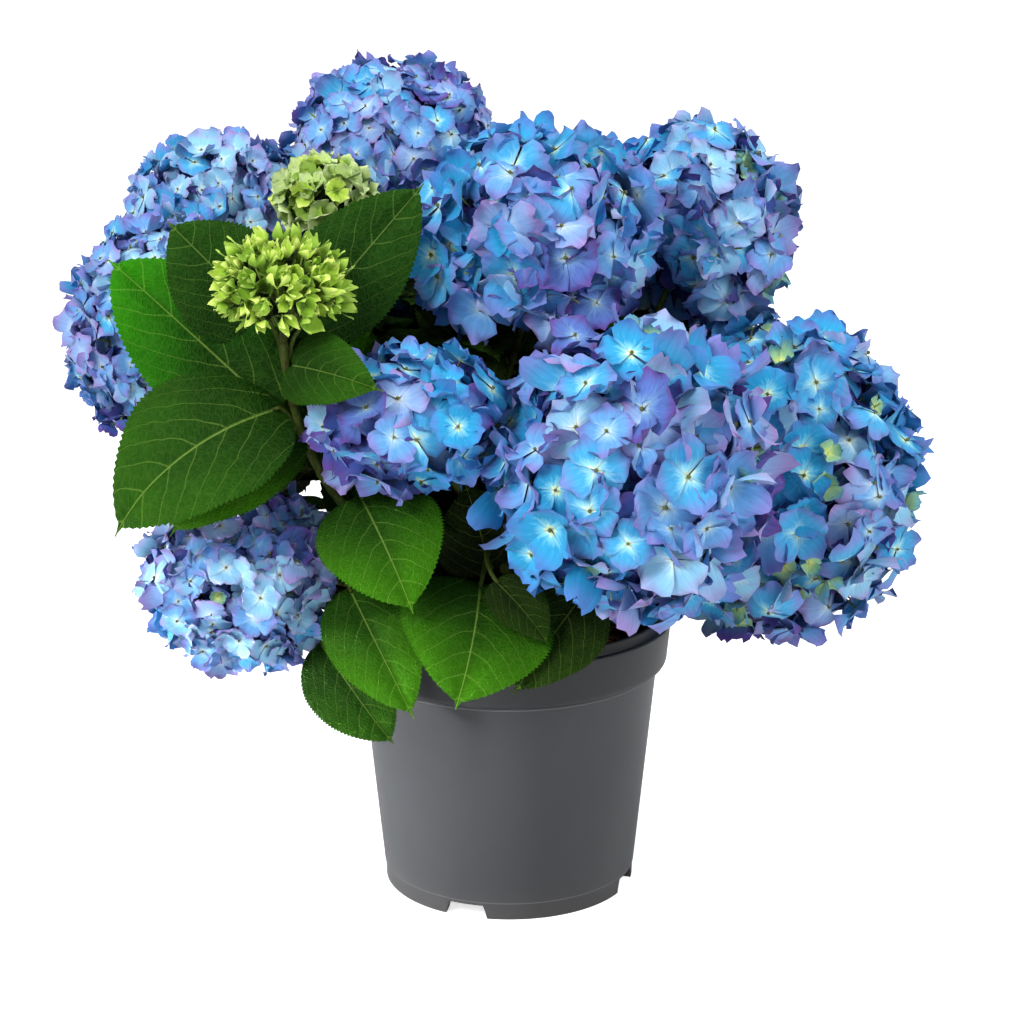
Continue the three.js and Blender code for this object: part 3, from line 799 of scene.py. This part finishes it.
def limbPart(tube, line, radiusAt, ridgeShare, checks=160):
    # the bent tube with its skin lifted by ridges, lumps and scars
    verts, faces = bent(tube, line, radiusAt)
    run = lengthsAlong(line)[-1]
    middles = pointsAt(line, np.linspace(0, 1, checks))
    ridged, spacing = limbLook["ridges"] * ridgeShare, limbLook["scarEvery"]
    made = verts.copy()
    for index, vert in enumerate(verts):
        nearest = np.argmin(np.linalg.norm(middles - vert, axis=1))
        out = vert - middles[nearest]
        ridge = noise.fractal(Vector(vert * (0.9, 0.9, limbLook["ridgeLength"])), 1, 2, 3)
        lump = noise.noise(Vector(vert * 0.08))
        along = nearest / (checks - 1) * run
        near = abs((along + spacing / 2) % spacing - spacing / 2)
        swell = limbLook["scarSwell"] * math.exp(-(near / limbLook["scarLength"]) ** 2)
        made[index] = vert + out * (ridge * ridged + lump * limbLook["lumps"] + swell)
    return part((made, faces))


def makeLimbs():
    tube = tubeShape(18, 44)
    young, boughRadius = limbLook["youngShare"], taper(bough["radius"], bough["tipRadius"])
    old = [limbPart(tube, caneLine(sizes), caneRadius, 1) for sizes in canes.values()]
    boughs = [limbPart(tube, growth["bough"], boughRadius, young) for growth in growths.values()]
    newPiece(joinedMesh("canes", old), caneBark, [f"cane_{name}" for name in canes])
    newPiece(joinedMesh("boughs", boughs), greenWood, [f"bough_{name}" for name in growths])


makeLimbs()
print("limbs are made")


# Leaves that show at the front, as the solids have them: place on the shoot, base, tip, width, way that
# the blade faces, arch and tint
# The shade and dark tints are painted shade, on leaves that lie in the shadow of the flower heads
shownLeaves = {
    "bud": [
        (0.8, (-160, -76, 424), (-222, -80, 489), 78, (-0.1, -1, 0.4), 4, "deep"),
        (0.8, (-139, -70, 416), (-56, -60, 511), 74, (0.2, -1, 0.3), 2, "deep"),
        (0.5, (-157, -96, 370), (-269, -46, 461), 90, (-0.1, -1, 0.55), 6, "bright"),
        (0.7, (-142, -120, 403), (-81, -182, 401), 50, (-0.57, -0.65, 0.51), 8, "middle"),
        (0.5, (-153, -112, 372), (-256, -152, 300), 104, (-0.35, -1, 0.7), 24, "middle"),
        (0.2, (-144, -96, 356), (-222, -136, 295), 74, (-0.3, -1, 0.7), 10, "fresh"),
    ],
    "under": [
        (0.85, (-97, -110, 311), (-62, -160, 249), 84, (0.1, -1, 0.5), 10, "fresh"),
        (0.25, (-19, -98, 247), (-34, -152, 180), 104, (0.3, -1, 0.75), 14, "fresh"),
        (0.35, (-8, -112, 254), (26, -140, 221), 38, (0.3, -1, 0.6), 4, "shade"),
        (0.3, (-12, -52, 244), (-29, -75, 311), 66, (0.1, -1, 0.1), 4, "dark"),
    ],
    "low_left": [
        (0.75, (-106, -102, 245), (-63, -158, 176), 64, (-0.1, -1, 0.6), 10, "fresh"),
        (0.45, (-126, -96, 204), (-78, -120, 142), 60, (-0.2, -1, 0.4), 6, "middle"),
    ],
    "front": [
        (0.25, (51, -88, 239), (3, -134, 184), 66, (0.1, -1, 0.8), 8, "shade"),
    ],
}
pair = {
    "spacing": 46, "fewest": 3, "besideShown": 2, "firstNode": 0.14, "lastNode": 0.86, "length": 124,
    "lengthSpread": 0.12, "widthShare": 0.64, "petiole": 26, "spread": 66, "droop": 0.25, "arch": 0.09,
    "faceTilt": 0.3,
}
crown = {"centre": (-8, 42, 330), "reach": (262, 262, 232), "front": -50, "lowest": 182}
tries = {"turns": (0, 20, -20, 40, -40), "lifts": (0, 18, -18, 34), "lengths": (1, 0.84, 0.7, 0.56)}
sameTip = 1.5        # a leaf of the rule grew where its tip is found in the solid
ruleSeed = 20260
openSpot = {"at": (182, -39, 415), "reach": 40}     # no leaf shows between the two right heads


def isInCrown(point, share=1):
    if point[1] < crown["front"] or point[2] < crown["lowest"]:
        return False
    return np.linalg.norm((point - crown["centre"]) / vectorOf(crown["reach"])) < share


def pairLeaf(line, node, angle, lift, length):
    root, heading = pointAt(line, node), headingAt(line, node)
    across = turnedBy(unit(np.cross(heading, (1, 0, 0))), heading, angle)
    spread = math.radians(pair["spread"] - lift)
    away = across * math.sin(spread) + heading * math.cos(spread)
    base = root + away * pair["petiole"]
    tip = base + unit(away - (0, 0, pair["droop"])) * length
    face = vectorOf((away[0] * pair["faceTilt"], away[1] * pair["faceTilt"], 1))
    return {"root": root, "base": base, "tip": tip, "width": length * pair["widthShare"], "face": face,
            "arch": length * pair["arch"]}


def solidPoints(node):
    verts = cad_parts[node].data.vertices
    tree = KDTree(len(verts))
    for vert in verts:
        tree.insert(vert.co / mm, vert.index)
    tree.balance()
    return tree


def grownLeaf(line, node, angle, length, solid):
    # the first way of setting the leaf that the solids have
    for share in tries["lengths"]:
        for lift in tries["lifts"]:
            for turn in tries["turns"]:
                leaf = pairLeaf(line, node, angle + math.radians(turn), lift, length * share)
                if isInCrown(leaf["tip"]) and solid.find(leaf["tip"])[2] < sameTip:
                    return leaf
    return None


def pairedLeaves(name, line, chance):
    roomFor = max(pair["fewest"], math.floor(lengthsAlong(line)[-1] / pair["spacing"] + 0.5))
    nodes = pair["besideShown"] if name in shownLeaves else roomFor
    firstAngle = chance() * math.pi
    solid = solidPoints(f"leaves_{name}")
    leaves = []
    for i in range(nodes):
        node = mixed(pair["firstNode"], pair["lastNode"], i / (nodes - 1))
        for turn in (0, math.pi):
            length = pair["length"] * (1 + pair["lengthSpread"] * (2 * chance() - 1))
            leaves.append(grownLeaf(line, node, firstAngle + i * math.pi / 2 + turn, length, solid))
    return [leaf for leaf in leaves if leaf]


def shownLeaf(line, node, base, tip, width, face, arch, tint):
    return {"root": pointAt(line, node), "base": vectorOf(base), "tip": vectorOf(tip), "width": width,
            "face": vectorOf(face), "arch": arch, "tint": tint}


def bladeShape(look):
    # flat pattern: t from base to tip and v from edge to edge, both edges toothed, the tip drawn out.
    # Its UV keeps true widths, so the veins keep their angle to the midrib
    verts, faces = gridShape(look["along"], look["across"])
    t, v = (verts[:, 0] + 1) / 2, verts[:, 1]
    body = np.clip(t / look["body"], 0, 1)
    half = body ** 0.45 * (1 - body) ** 0.75 / 0.452         # 1 where it is broadest
    half = np.hypot(half, look["tip"] * np.clip((1 - t) / 0.12, 0, 1) * np.clip(t / 0.02, 0.1, 1))
    isTooth = (np.abs(v) > 0.999) & (t > 0.02) & (t < 0.985)
    tooth = np.where(np.round(t * look["along"]) % 2 == 1, 1.0, -1.0) * isTooth
    half = np.maximum(half, 0.012) * (1 + look["teeth"] * tooth)
    along = t + 0.4 / look["along"] * (tooth > 0)
    along = along - 0.04 * v ** 2 * np.clip(1 - t / 0.2, 0, 1)
    uv = np.stack([t, 0.5 + v * np.clip(half, 0, 1) / 2], -1)
    return {"t": along, "v": v, "half": half, "uv": uv, "faces": faces}


def veinRelief(shape, look):
    # the blade swells between its side veins and sinks along the midrib
    aside = np.abs(shape["uv"][:, 1] - 0.5) * 2
    start = shape["t"] - look["sweep"] * aside - look["curve"] * aside ** 2
    off = np.abs((start * look["veins"]) % 1 - 0.5)
    quilt = np.sqrt(np.clip(off * 2, 0, 1))
    rib = np.exp(-(aside / 0.08) ** 2)
    return look["relief"] * (quilt * (1 - np.abs(shape["v"]) ** 4) * (1 - rib) - 1.2 * rib)


def leafPart(leaf, shape, look, tint, rng):
    along = leaf["tip"] - leaf["base"]
    length = np.linalg.norm(along)
    ahead = along / length
    side = unit(np.cross(ahead, leaf["face"]))
    up = np.cross(side, ahead)
    t, v = shape["t"][:, None], shape["v"][:, None]
    middle = (leaf["base"] + leaf["tip"]) / 2 + up * 2 * leaf["arch"]
    midrib = mixed(mixed(leaf["base"], middle, t), mixed(middle, leaf["tip"], t), t)
    half = leaf["width"] / 2 * shape["half"][:, None]
    aside = np.abs(v)
    lift = half * (look["fold"] * aside - look["droop"] * v ** 2)
    phase = rng.uniform(0, math.tau, 2)
    wave = np.where(v > 0, np.sin(t * 15 + phase[0]), np.sin(t * 15 + phase[1]))
    lift = lift + length * look["wave"] * 0.35 * wave * aside ** 2 * np.sin(np.pi * np.clip(t, 0, 1))
    lift = lift - length * look["tipCurl"] * np.clip((t - 0.7) / 0.3, 0, 1) ** 2
    lift = lift + length * veinRelief(shape, look)[:, None]
    verts = midrib + side * half * v + up * lift
    return part((verts, shape["faces"]), shape["uv"], tint)


petiole = {"rootRadius": 2.3, "radius": 1.35, "flare": 1.2, "flareShare": 0.12}


def petioleRadius(share):
    nearRoot = max(0, 1 - share / petiole["flareShare"])
    return mixed(petiole["rootRadius"], petiole["radius"], share) + petiole["flare"] * nearRoot


def petiolePart(leaf, tube):
    away = unit(leaf["base"] - leaf["root"])
    reach = np.linalg.norm(leaf["base"] - leaf["root"])
    into = unit(leaf["tip"] - leaf["base"])
    start = leaf["root"] - away * 0.5
    line = bezierLine(start, start + away * reach * 0.45, leaf["base"] - into * reach * 0.3,
                      leaf["base"] + into * 1.5)
    return part(bent(tube, line, petioleRadius))


# Finer twigs: short side stems with smaller leaves that fill the inside of the crown
fine = {
    "twigs": 10, "caneTwigs": 12, "tries": 4, "longest": 46, "shortest": 18, "length": (44, 82),
    "widthMore": 1.1, "freeDepth": 0.98, "crownShare": 0.92, "lowest": 12, "seed": 7,
}

# How much of each leaf tint there is in the open, close to a flower head and on the finer twigs. The shade
# and dark tints are painted shade, so the leaves close to a flower head and on the finer twigs inside the
# crown are mostly painted darker
tintShares = {
    "open": (0.34, 0.3, 0.2, 0.02, 0.12, 0.02),
    "shaded": (0.24, 0.06, 0, 0, 0.45, 0.25),
    "inner": (0.25, 0.1, 0, 0, 0.4, 0.25),
}
shadedDepth = 1.3


def headDepth(point):
    # below 1 inside a flower head
    return min(np.linalg.norm((point - head["at"]) / radiiOf(head)) for head in heads.values())


def isFree(point):
    isInside = isInCrown(point, fine["crownShare"]) and point[2] > compostLevel + fine["lowest"]
    return isInside and headDepth(point) > fine["freeDepth"]


def fineLeaves(line, count, rng):
    made = []
    for _ in range(count * fine["tries"]):
        node = rng.uniform(0.02, 0.95)
        angle, lift = rng.uniform(0, math.tau), rng.uniform(-40, 30)
        leaf = pairLeaf(line, node, angle, lift, rng.uniform(*fine["length"]))
        stem = rng.uniform(fine["shortest"], fine["longest"])
        shift = unit(leaf["base"] - leaf["root"]) * (stem - pair["petiole"])
        leaf["base"], leaf["tip"] = leaf["base"] + shift, leaf["tip"] + shift
        leaf["width"] *= fine["widthMore"]
        ends = (leaf["base"], (leaf["base"] + leaf["tip"]) / 2, leaf["tip"])
        if len(made) < count and all(isFree(p) for p in ends):
            made.append(leaf)
    return made


def skipFloretDraws(chance):
    # the rule draws for the heads' florets before it sets the leaves
    for name in growths:
        head = heads[name]
        mean = (2 * head["across"] + head["tall"]) / 3
        for _ in range(2 * math.floor(4 * math.pi * mean ** 2 / head["spacing"] ** 2 + 0.5)):
            chance()


def tintOf(leaf, rng):
    if "tint" in leaf:
        return list(leafTints).index(leaf["tint"])
    # close to a flower head a leaf mostly takes the shade and dark tints: painted shade
    isShaded = headDepth(mixed(leaf["base"], leaf["tip"], 0.7)) < shadedDepth
    return rng.choice(len(leafTints), p=tintShares["shaded" if isShaded else "open"])


def addFine(leaves, shape, tube, blades, stems, rng):
    for leaf in leaves:
        # the finer twigs' leaves are mostly the shade and dark tints: painted shade inside the crown
        tint = rng.choice(len(leafTints), p=tintShares["inner"])
        blades.append(leafPart(leaf, shape, fineBlade, tint, rng))
        stems.append(petiolePart(leaf, tube))


def makeLeaves():
    shape, tube, stemTube = bladeShape(blade), tubeShape(8, 7), tubeShape(12, 26)
    fineShapes = (bladeShape(fineBlade), tubeShape(5, 4))
    shootRadius = taper(bough["tipRadius"], shoot["tipRadius"])
    rng = np.random.default_rng(fine["seed"])
    chance = chanceFrom(ruleSeed)
    skipFloretDraws(chance)
    stems, inner, count = [], [], 0
    for name, growth in growths.items():
        line = growth["shoot"]
        leaves = [shownLeaf(line, *values) for values in shownLeaves.get(name, [])]
        leaves += pairedLeaves(name, line, chance)
        small = fineLeaves(line, fine["twigs"], rng)
        blades = []
        for leaf in leaves:
            made = leafPart(leaf, shape, blade, tintOf(leaf, rng), rng)
            if np.linalg.norm(leaf["tip"] - openSpot["at"]) > openSpot["reach"]:
                blades.append(made)
                stems.append(petiolePart(leaf, tube))
        addFine(small, *fineShapes, blades, stems, rng)
        stems.append(limbPart(stemTube, line, shootRadius, limbLook["youngShare"]))
        newPiece(joinedMesh(f"{name}_leaves", blades, leafCells), leafSurface, [f"leaves_{name}"])
        count += len(leaves)
    for sizes in canes.values():
        addFine(fineLeaves(caneLine(sizes), fine["caneTwigs"], rng), *fineShapes, inner, stems, rng)
    newPiece(joinedMesh("inner_leaves", inner, leafCells), leafSurface)
    newPiece(joinedMesh("twigs", stems), stalkSkin)
    print("leaves of the rule:", count, "and on the canes:", len(inner))


makeLeaves()
print("leaves and twigs are made")


# Florets: four broad petals round a bead. Sizes are millimetres across, mood is how much of each tint
# a head has, from cyan to violet, lean is the way its violet side faces, unripe is the share of folded
# green ones, and gap is the spacing as a share of the size. On most heads the violet side faces down, and
# there the violet is partly the flowers' own colour and partly painted shade. The under head's larger
# violet share is partly painted shade too
florets = table("size mood lean unripe gap", {
    "front": (49, (0.2, 0.26, 0.08, 0.22, 0.14, 0.1), (0.7, 0, 0.2), 0.09),
    "under": (42, (0.34, 0.22, 0.03, 0.09, 0.08, 0.24), (-0.8, 0, -0.3), 0.05, 0.66),
    "right": (46, (0.38, 0.32, 0.12, 0.12, 0.04, 0.02), (0.2, 0, -0.8), 0.12),
    "right_back": (44, (0.06, 0.22, 0.2, 0.26, 0.24, 0.02), (0.3, 0, -0.8), 0.09),
    "back_low": (44, (0.2, 0.26, 0.14, 0.2, 0.14, 0.06), (0, 0, -1), 0.03),
    "back_right": (44, (0.16, 0.26, 0.14, 0.24, 0.14, 0.06), (0, 0, -1), 0.02),
    "back_left": (36, (0.1, 0.24, 0.2, 0.26, 0.16, 0.04), (0, 0, -1), 0.02),
    "left_back": (29, (0.04, 0.14, 0.38, 0.26, 0.16, 0.02), (0.4, 0, -0.8), 0),
    "low_left": (29, (0.03, 0.1, 0.34, 0.25, 0.22, 0.06), (0.2, 0, 0.6), 0.02),
    "far_left": (29, (0.08, 0.26, 0.34, 0.22, 0.08, 0.02), (-0.6, 0, -0.4), 0),
    "top": (31, (0.06, 0.2, 0.08, 0.38, 0.16, 0.12), (0.3, 0, 0.1), 0.01),
    "centre": (45, (0.2, 0.36, 0.1, 0.2, 0.06, 0.08), (0.3, 0, -0.9), 0),
})
petal = {
    "along": 4, "across": 4, "width": 0.9, "cup": (-0.5, 0.42), "cupSwing": 0.22, "wave": 0.3,
    "twist": 0.12, "close": 0.0, "point": 0.0, "variants": 16, "gap": 0.55, "tilt": 0.46,
    "reach": (0.82, 0.96), "step": 0.035, "notch": 0.08, "spread": (0.76, 1.14), "sink": 0.0,
    "unripeSize": 0.62, "unripeReach": 0.95,
}
ruffledPetal = {**petal, "cup": (0.3, 0.7), "cupSwing": 0.3, "wave": 0.4, "variants": 6, "sink": 0.8}
foldedPetal = {**petal, "cup": (0.35, 0.9), "width": 0.8, "close": 0.25, "variants": 4}

# Layers of a head: share of its radius, and degrees that it reaches round from the head's aim
outerLayer = (1, 142)
# Half the inner florets and all the core ones take the deep tint: painted shade inside the head
innerLayer = {"place": (0.85, 150), "size": 0.95, "gap": 1.05, "paintedShadeShare": 0.5}
coreLayer = {"place": (0.62, 165), "gap": 0.58}


def petalArrays(grid, look, cup, wave, phase):
    # rows stand closer towards the tip, which is broad with a slight point
    verts, faces = grid
    u = 1 - (1 - (verts[:, 0] + 1) / 2) ** 1.5
    v = verts[:, 1]
    half = look["width"] * u ** 0.55 * (1 - 0.7 * u ** 4) * (1 + 0.06 * np.sin(8 * u + phase * 3))
    half = half * (1 - look["point"] * u ** 1.5)
    x = 0.015 + u * (1 - 0.2 * v ** 2 * u ** 2) * (1 - look["close"] * u ** 2)
    x = x - look["notch"] * (1 + math.cos(phase * 5)) / 2 * u ** 6 * np.sin(math.pi * np.abs(v))
    y = half * v * (1 - look["close"] * 0.6 * u ** 2)
    z = cup * u ** 1.6 + wave * np.sin(2.6 * v + phase) * u ** 2 * np.abs(v) + look["twist"] * u ** 1.5 * v
    z = z - 0.12 * u ** 3 * v ** 2
    return np.stack([x, y, z], -1), faces, np.stack([u, (v + 1) / 2], -1)


def floretShape(rng, look):
    # four petals a quarter turn apart, each shaped by chance, one pair a little under the other,
    # and how deep a cupped floret sits, so that its rims lie at the head's surface
    grid = gridShape(look["along"], look["across"])
    verts, faces, uvs, start = [], [], [], 0
    cup = rng.uniform(*look["cup"])
    for quarter in range(4):
        own = {**look, "width": look["width"] * rng.uniform(0.86, 1.06)}
        shape, face, uv = petalArrays(grid, own, cup + rng.normal() * look["cupSwing"],
                                      look["wave"] * rng.uniform(0.4, 1.3), rng.uniform(0, math.tau))
        shape = shape - (0, 0, look["step"] * (quarter % 2))
        angle = quarter * math.pi / 2 + rng.normal() * 0.09
        turn = np.array(Matrix.Rotation(angle, 3, "Z"))
        verts.append(shape @ turn.T * rng.uniform(0.88, 1.08))
        faces.append(face[4] + start)
        uvs.append(uv)
        start += len(shape)
    sink = look["sink"] * max(0, cup)
    return (np.concatenate(verts), {4: np.concatenate(faces)}), np.concatenate(uvs), sink


def floretShapes(rng, look):
    return [floretShape(rng, look) for _ in range(look["variants"])]


def beadShape():
    # it takes the rim's colour from its UV
    verts, faces = ballShape(0.062)
    return (verts + (0, 0, 0.05), faces), np.full((len(verts), 2), (0.95, 0.5))


def directionsRound(count):
    # spread evenly by the golden angle
    index = np.arange(count)
    z = 1 - 2 * (index + 0.5) / count
    radius = np.sqrt(1 - z ** 2)
    angle = index * math.pi * (3 - math.sqrt(5))
    return np.stack([radius * np.cos(angle), radius * np.sin(angle), z], -1)


def turnTo(direction, spin, tilt, tiltWay):
    upright = Vector(direction).to_track_quat("Z", "Y").to_matrix()
    lean = Matrix.Rotation(tilt, 3, Vector((math.cos(tiltWay), math.sin(tiltWay), 0)))
    return np.array(upright @ lean @ Matrix.Rotation(spin, 3, "Z"))


def fieldOver(directions, scale, shift):
    return np.array([noise.noise(Vector(d * scale) + Vector(shift)) for d in directions])


def tintsFor(directions, look, rng):
    # neighbours are alike: a soft field over the head decides, and the mood gives the shares
    field = fieldOver(directions, 1.9, (look["size"], 0, 0))
    # the lean turns one side violet, on most heads the lower one: partly the flowers' own colour, partly
    # painted shade
    field = field + 0.35 * directions @ unit(vectorOf(look["lean"])) + rng.normal(0, 0.22, len(directions))
    rank = np.argsort(np.argsort(field)) / max(1, len(field) - 1)
    edges = np.cumsum(look["mood"]) / sum(look["mood"])
    return np.searchsorted(edges[:-1], rank)


def unripeAmong(directions, look):
    # unripe florets stand in small groups
    field = fieldOver(directions, 2.7, (-look["size"], -3, 0))
    return field > np.quantile(field, 1 - look["unripe"])


def dealFlorets(head, size, spacing, layer, look, rng):
    # places and turns of one layer of florets over the head
    share, cover = layer
    radii = radiiOf(head) * share
    mean = radii.mean()
    count = round(4 * math.pi * mean ** 2 / spacing ** 2)
    aim = np.array(Vector(headAim(head)).to_track_quat("Z", "Y").to_matrix())
    directions = directionsRound(count) + rng.normal(0, 0.25 * spacing / mean, (count, 3))
    directions = directions / np.linalg.norm(directions, axis=1)[:, None]
    directions = directions[directions[:, 2] > math.cos(math.radians(cover))] @ aim.T
    outward = directions / radii
    outward = outward / np.linalg.norm(outward, axis=1)[:, None]
    scales = size / 2 * rng.uniform(*look["spread"], len(directions))
    dip = np.sqrt(1 - (np.minimum(scales / mean, 0.9)) ** 2)
    depths = dip * rng.uniform(*look["reach"], len(directions))
    places = directions * radii * depths[:, None] + head["at"]
    turns = np.stack([turnTo(o, rng.uniform(0, math.tau), abs(rng.normal(0, look["tilt"])),
                             rng.uniform(0, math.tau)) for o in outward])
    return {"directions": directions, "places": places, "turns": turns, "scales": scales}


def only(layer, chosen):
    return {key: values[chosen] for key, values in layer.items()}


def floretParts(shapes, layer, tints, rng, beadTint=None):
    kinds = rng.integers(0, len(shapes), len(tints))
    matrices = layer["turns"] * layer["scales"][:, None, None]
    sinks = np.array([sink for shape, uv, sink in shapes])[kinds]
    places = layer["places"] - matrices[:, :, 2] * sinks[:, None]
    parts = []
    for tint in np.unique(tints):
        for kind, (shape, uv, sink) in enumerate(shapes):
            chosen = (tints == tint) & (kinds == kind)
            if chosen.any():
                parts.append(copies(shape, uv, matrices[chosen], places[chosen], tint))
    if beadTint is not None:
        parts.append(copies(*beadShape(), matrices, places, beadTint))
    return parts


def rayParts(head, places, tube, tint, depth, radius):
    # thin green stalks from the middle of the head out to its florets
    middle = vectorOf(head["at"]) - headAim(head) * radiiOf(head) * depth
    parts = []
    for place in places:
        inner = mixed(middle, place, 0.3)
        bend = mixed(middle, place, 0.65) + headAim(head) * head["tall"] * 0.05
        parts.append(part(bent(tube, bezierLine(inner, bend, place), taper(radius, radius)), tint=tint))
    return parts


def makeBlueHead(name, look, shapes, folded, tube, rng):
    head, size = heads[name], look["size"]
    gap = size * look.get("gap", petal["gap"])
    deep, green, unripeTint = [list(blueTints).index(n) for n in ("deep", "stalk", "unripe")]
    outer = dealFlorets(head, size, gap, outerLayer, petal, rng)
    isUnripe = unripeAmong(outer["directions"], look)
    ripe, unripe = only(outer, ~isUnripe), only(outer, isUnripe)
    unripe["scales"] = unripe["scales"] * petal["unripeSize"]
    unripe["places"] = mixed(vectorOf(head["at"]), unripe["places"], petal["unripeReach"])
    parts = floretParts(shapes, ripe, tintsFor(ripe["directions"], look, rng), rng, green)
    parts += floretParts(folded, unripe, np.full(isUnripe.sum(), unripeTint), rng)
    inner = dealFlorets(head, size * innerLayer["size"], gap * innerLayer["gap"], innerLayer["place"],
                        petal, rng)
    # painted shade: half the inner florets are the deep tint
    isPaintedShade = rng.random(len(inner["places"])) < innerLayer["paintedShadeShare"]
    innerTints = np.where(isPaintedShade, deep, tintsFor(inner["directions"], look, rng))
    parts += floretParts(shapes, inner, innerTints, rng)
    # painted shade: all the core florets are the deep tint
    core = dealFlorets(head, size, size * coreLayer["gap"], coreLayer["place"], petal, rng)
    parts += floretParts(shapes, core, np.full(len(core["places"]), deep), rng)
    parts += rayParts(head, outer["places"][::2], tube, green, 0.4, 0.8)
    mesh = joinedMesh(f"{name}_florets", parts, tintCells)
    newPiece(mesh, bluePetals, [f"bloom_{name}"])
    return len(mesh.polygons)


# Green heads: small urns with pointed lobes, and a paler one whose petals have opened. Tints are places
# in greenTints
smoothPetal = {**petal, "twist": 0.04, "wave": 0.08, "step": 0.02, "cupSwing": 0.13, "variants": 6}
greenHeads = {
    "bud": {"size": 21, "spacing": 12.6, "cover": 126, "cup": (0.8, 1.2), "width": 0.82, "close": 0.46,
            "point": 0.5, "tints": (0, 0, 0, 1, 1), "reach": (0.7, 0.9), "spread": (0.6, 1.2)},
    "young": {"size": 25, "spacing": 13.5, "cover": 120, "cup": (0.1, 0.6), "width": 0.85, "close": 0.1,
              "point": 0.0, "tints": (2, 2, 2, 2, 3, 0), "reach": (0.8, 0.96), "spread": (0.7, 1.15)},
}
# the inner buds are mostly the shade tint: painted shade inside the head
innerGreen = {"share": 0.72, "tints": (1, 4, 4)}


def makeGreenHead(name, own, tube, rng):
    head, look = heads[name], {**smoothPetal, **own}
    shapes = floretShapes(rng, look)
    outer, inner = [dealFlorets(head, look["size"], look["spacing"], (share, look["cover"]), look, rng)
                    for share in (1, innerGreen["share"])]
    green = list(greenTints).index("stalk")
    outerTints = rng.choice(look["tints"], len(outer["places"]))
    innerTints = rng.choice(innerGreen["tints"], len(inner["places"]))
    parts = floretParts(shapes, outer, outerTints, rng, green)
    parts += floretParts(shapes, inner, innerTints, rng)
    parts += rayParts(head, outer["places"], tube, green, 0.9, 0.7)
    mesh = joinedMesh(f"{name}_buds", parts, tintCells)
    newPiece(mesh, greenPetals, [f"bloom_{name}"])


def makeHeads():
    rng = np.random.default_rng(2)
    shapes = floretShapes(rng, petal) + floretShapes(rng, ruffledPetal)
    folded = floretShapes(rng, foldedPetal)
    tube = tubeShape(3, 3)
    total = 0
    for name, look in florets.items():
        total += makeBlueHead(name, look, shapes, folded, tube, rng)
    for name, look in greenHeads.items():
        makeGreenHead(name, look, tube, rng)
    thick, stalkRadius = tubeShape(10, 10), taper(shoot["tipRadius"], stalk["tipRadius"])
    stalks = [part(bent(thick, growth["stalk"], stalkRadius)) for growth in growths.values()]
    newPiece(joinedMesh("flower_stalks", stalks), stalkSkin)
    print("petal faces:", total)


makeHeads()
print("flower heads are made")


# Floor, lights and camera
studio = {"floorSize": 60, "floorColour": (0.8, 0.8, 0.8, 1), "floorGlow": 0.73, "sky": 0.52}
camera = {"place": (0.002, -1.740, 0.752), "pitch": 74.55, "lens": 90.14, "near": 0.1, "far": 200}
lamps = table("place aim size power spread", {
    "key": ((-1.5, -2.0, 1.9), (0, 0, 0.3), 0.9, 53, 180),
    "fill": ((2.0, -1.5, 1.9), (0, 0, 0.3), 1.2, 38, 180),
    "left": ((-2.4, -0.6, 1.2), (0, 0, 0.3), 1.2, 10, 180),
    "top": ((0.1, 0.3, 2.6), (0, 0, 0.3), 1.2, 19, 180),
    "potSide": ((-2.0, -0.5, 0.12), (0, 0, 0.06), 0.35, 0.92, 10),
})


def floorMaterial():
    # it lights up only where the camera sees it, so that it looks white and the plant isn't lit by it
    material, tree, shader = newMaterial("pale floor", Base_Color=studio["floorColour"], Roughness=0.8,
                                         Emission_Strength=1)
    glow = (*[studio["floorGlow"]] * 3, 1)
    seen = source(tree, "LightPath", "Is Camera Ray")
    feed(shader.inputs["Emission Color"], blendOf(seen, (0, 0, 0, 1), glow))
    return material


def makeFloor():
    bm = bmesh.new()
    bmesh.ops.create_grid(bm, x_segments=1, y_segments=1, size=studio["floorSize"] / 2)
    mesh = meshFrom(bm, "floor")
    mesh.materials.append(floorMaterial())
    inScene("floor", mesh)


def makeWorld():
    # white where the camera sees it, and dimmer as a light
    world = bpy.data.worlds.new("studio")
    world.use_nodes = True
    sky = world.node_tree.nodes["Background"]
    sky.inputs["Color"].default_value = (1, 1, 1, 1)
    seen = source(world.node_tree, "LightPath", "Is Camera Ray")
    feed(sky.inputs["Strength"], scaled(seen, 1 - studio["sky"], studio["sky"]))
    bpy.context.scene.world = world
    bpy.context.scene.view_settings.view_transform = "Standard"


def makeLamps():
    for name, lamp in lamps.items():
        light = bpy.data.lights.new(name, "AREA")
        light.size = lamp["size"]
        light.energy = lamp["power"]
        light.spread = math.radians(lamp["spread"])
        made = inScene(name, light)
        made.location = lamp["place"]
        made.rotation_euler = (Vector(lamp["aim"]) - made.location).to_track_quat("-Z", "Y").to_euler()


def makeCamera():
    view = inScene("camera", bpy.data.cameras.new("camera"))
    view.location = camera["place"]
    view.rotation_euler = (math.radians(camera["pitch"]), 0, 0)
    view.data.lens = camera["lens"]
    view.data.clip_start = camera["near"]
    view.data.clip_end = camera["far"]
    bpy.context.scene.camera = view


makeFloor()
makeWorld()
makeLamps()
makeCamera()
print("studio is made")
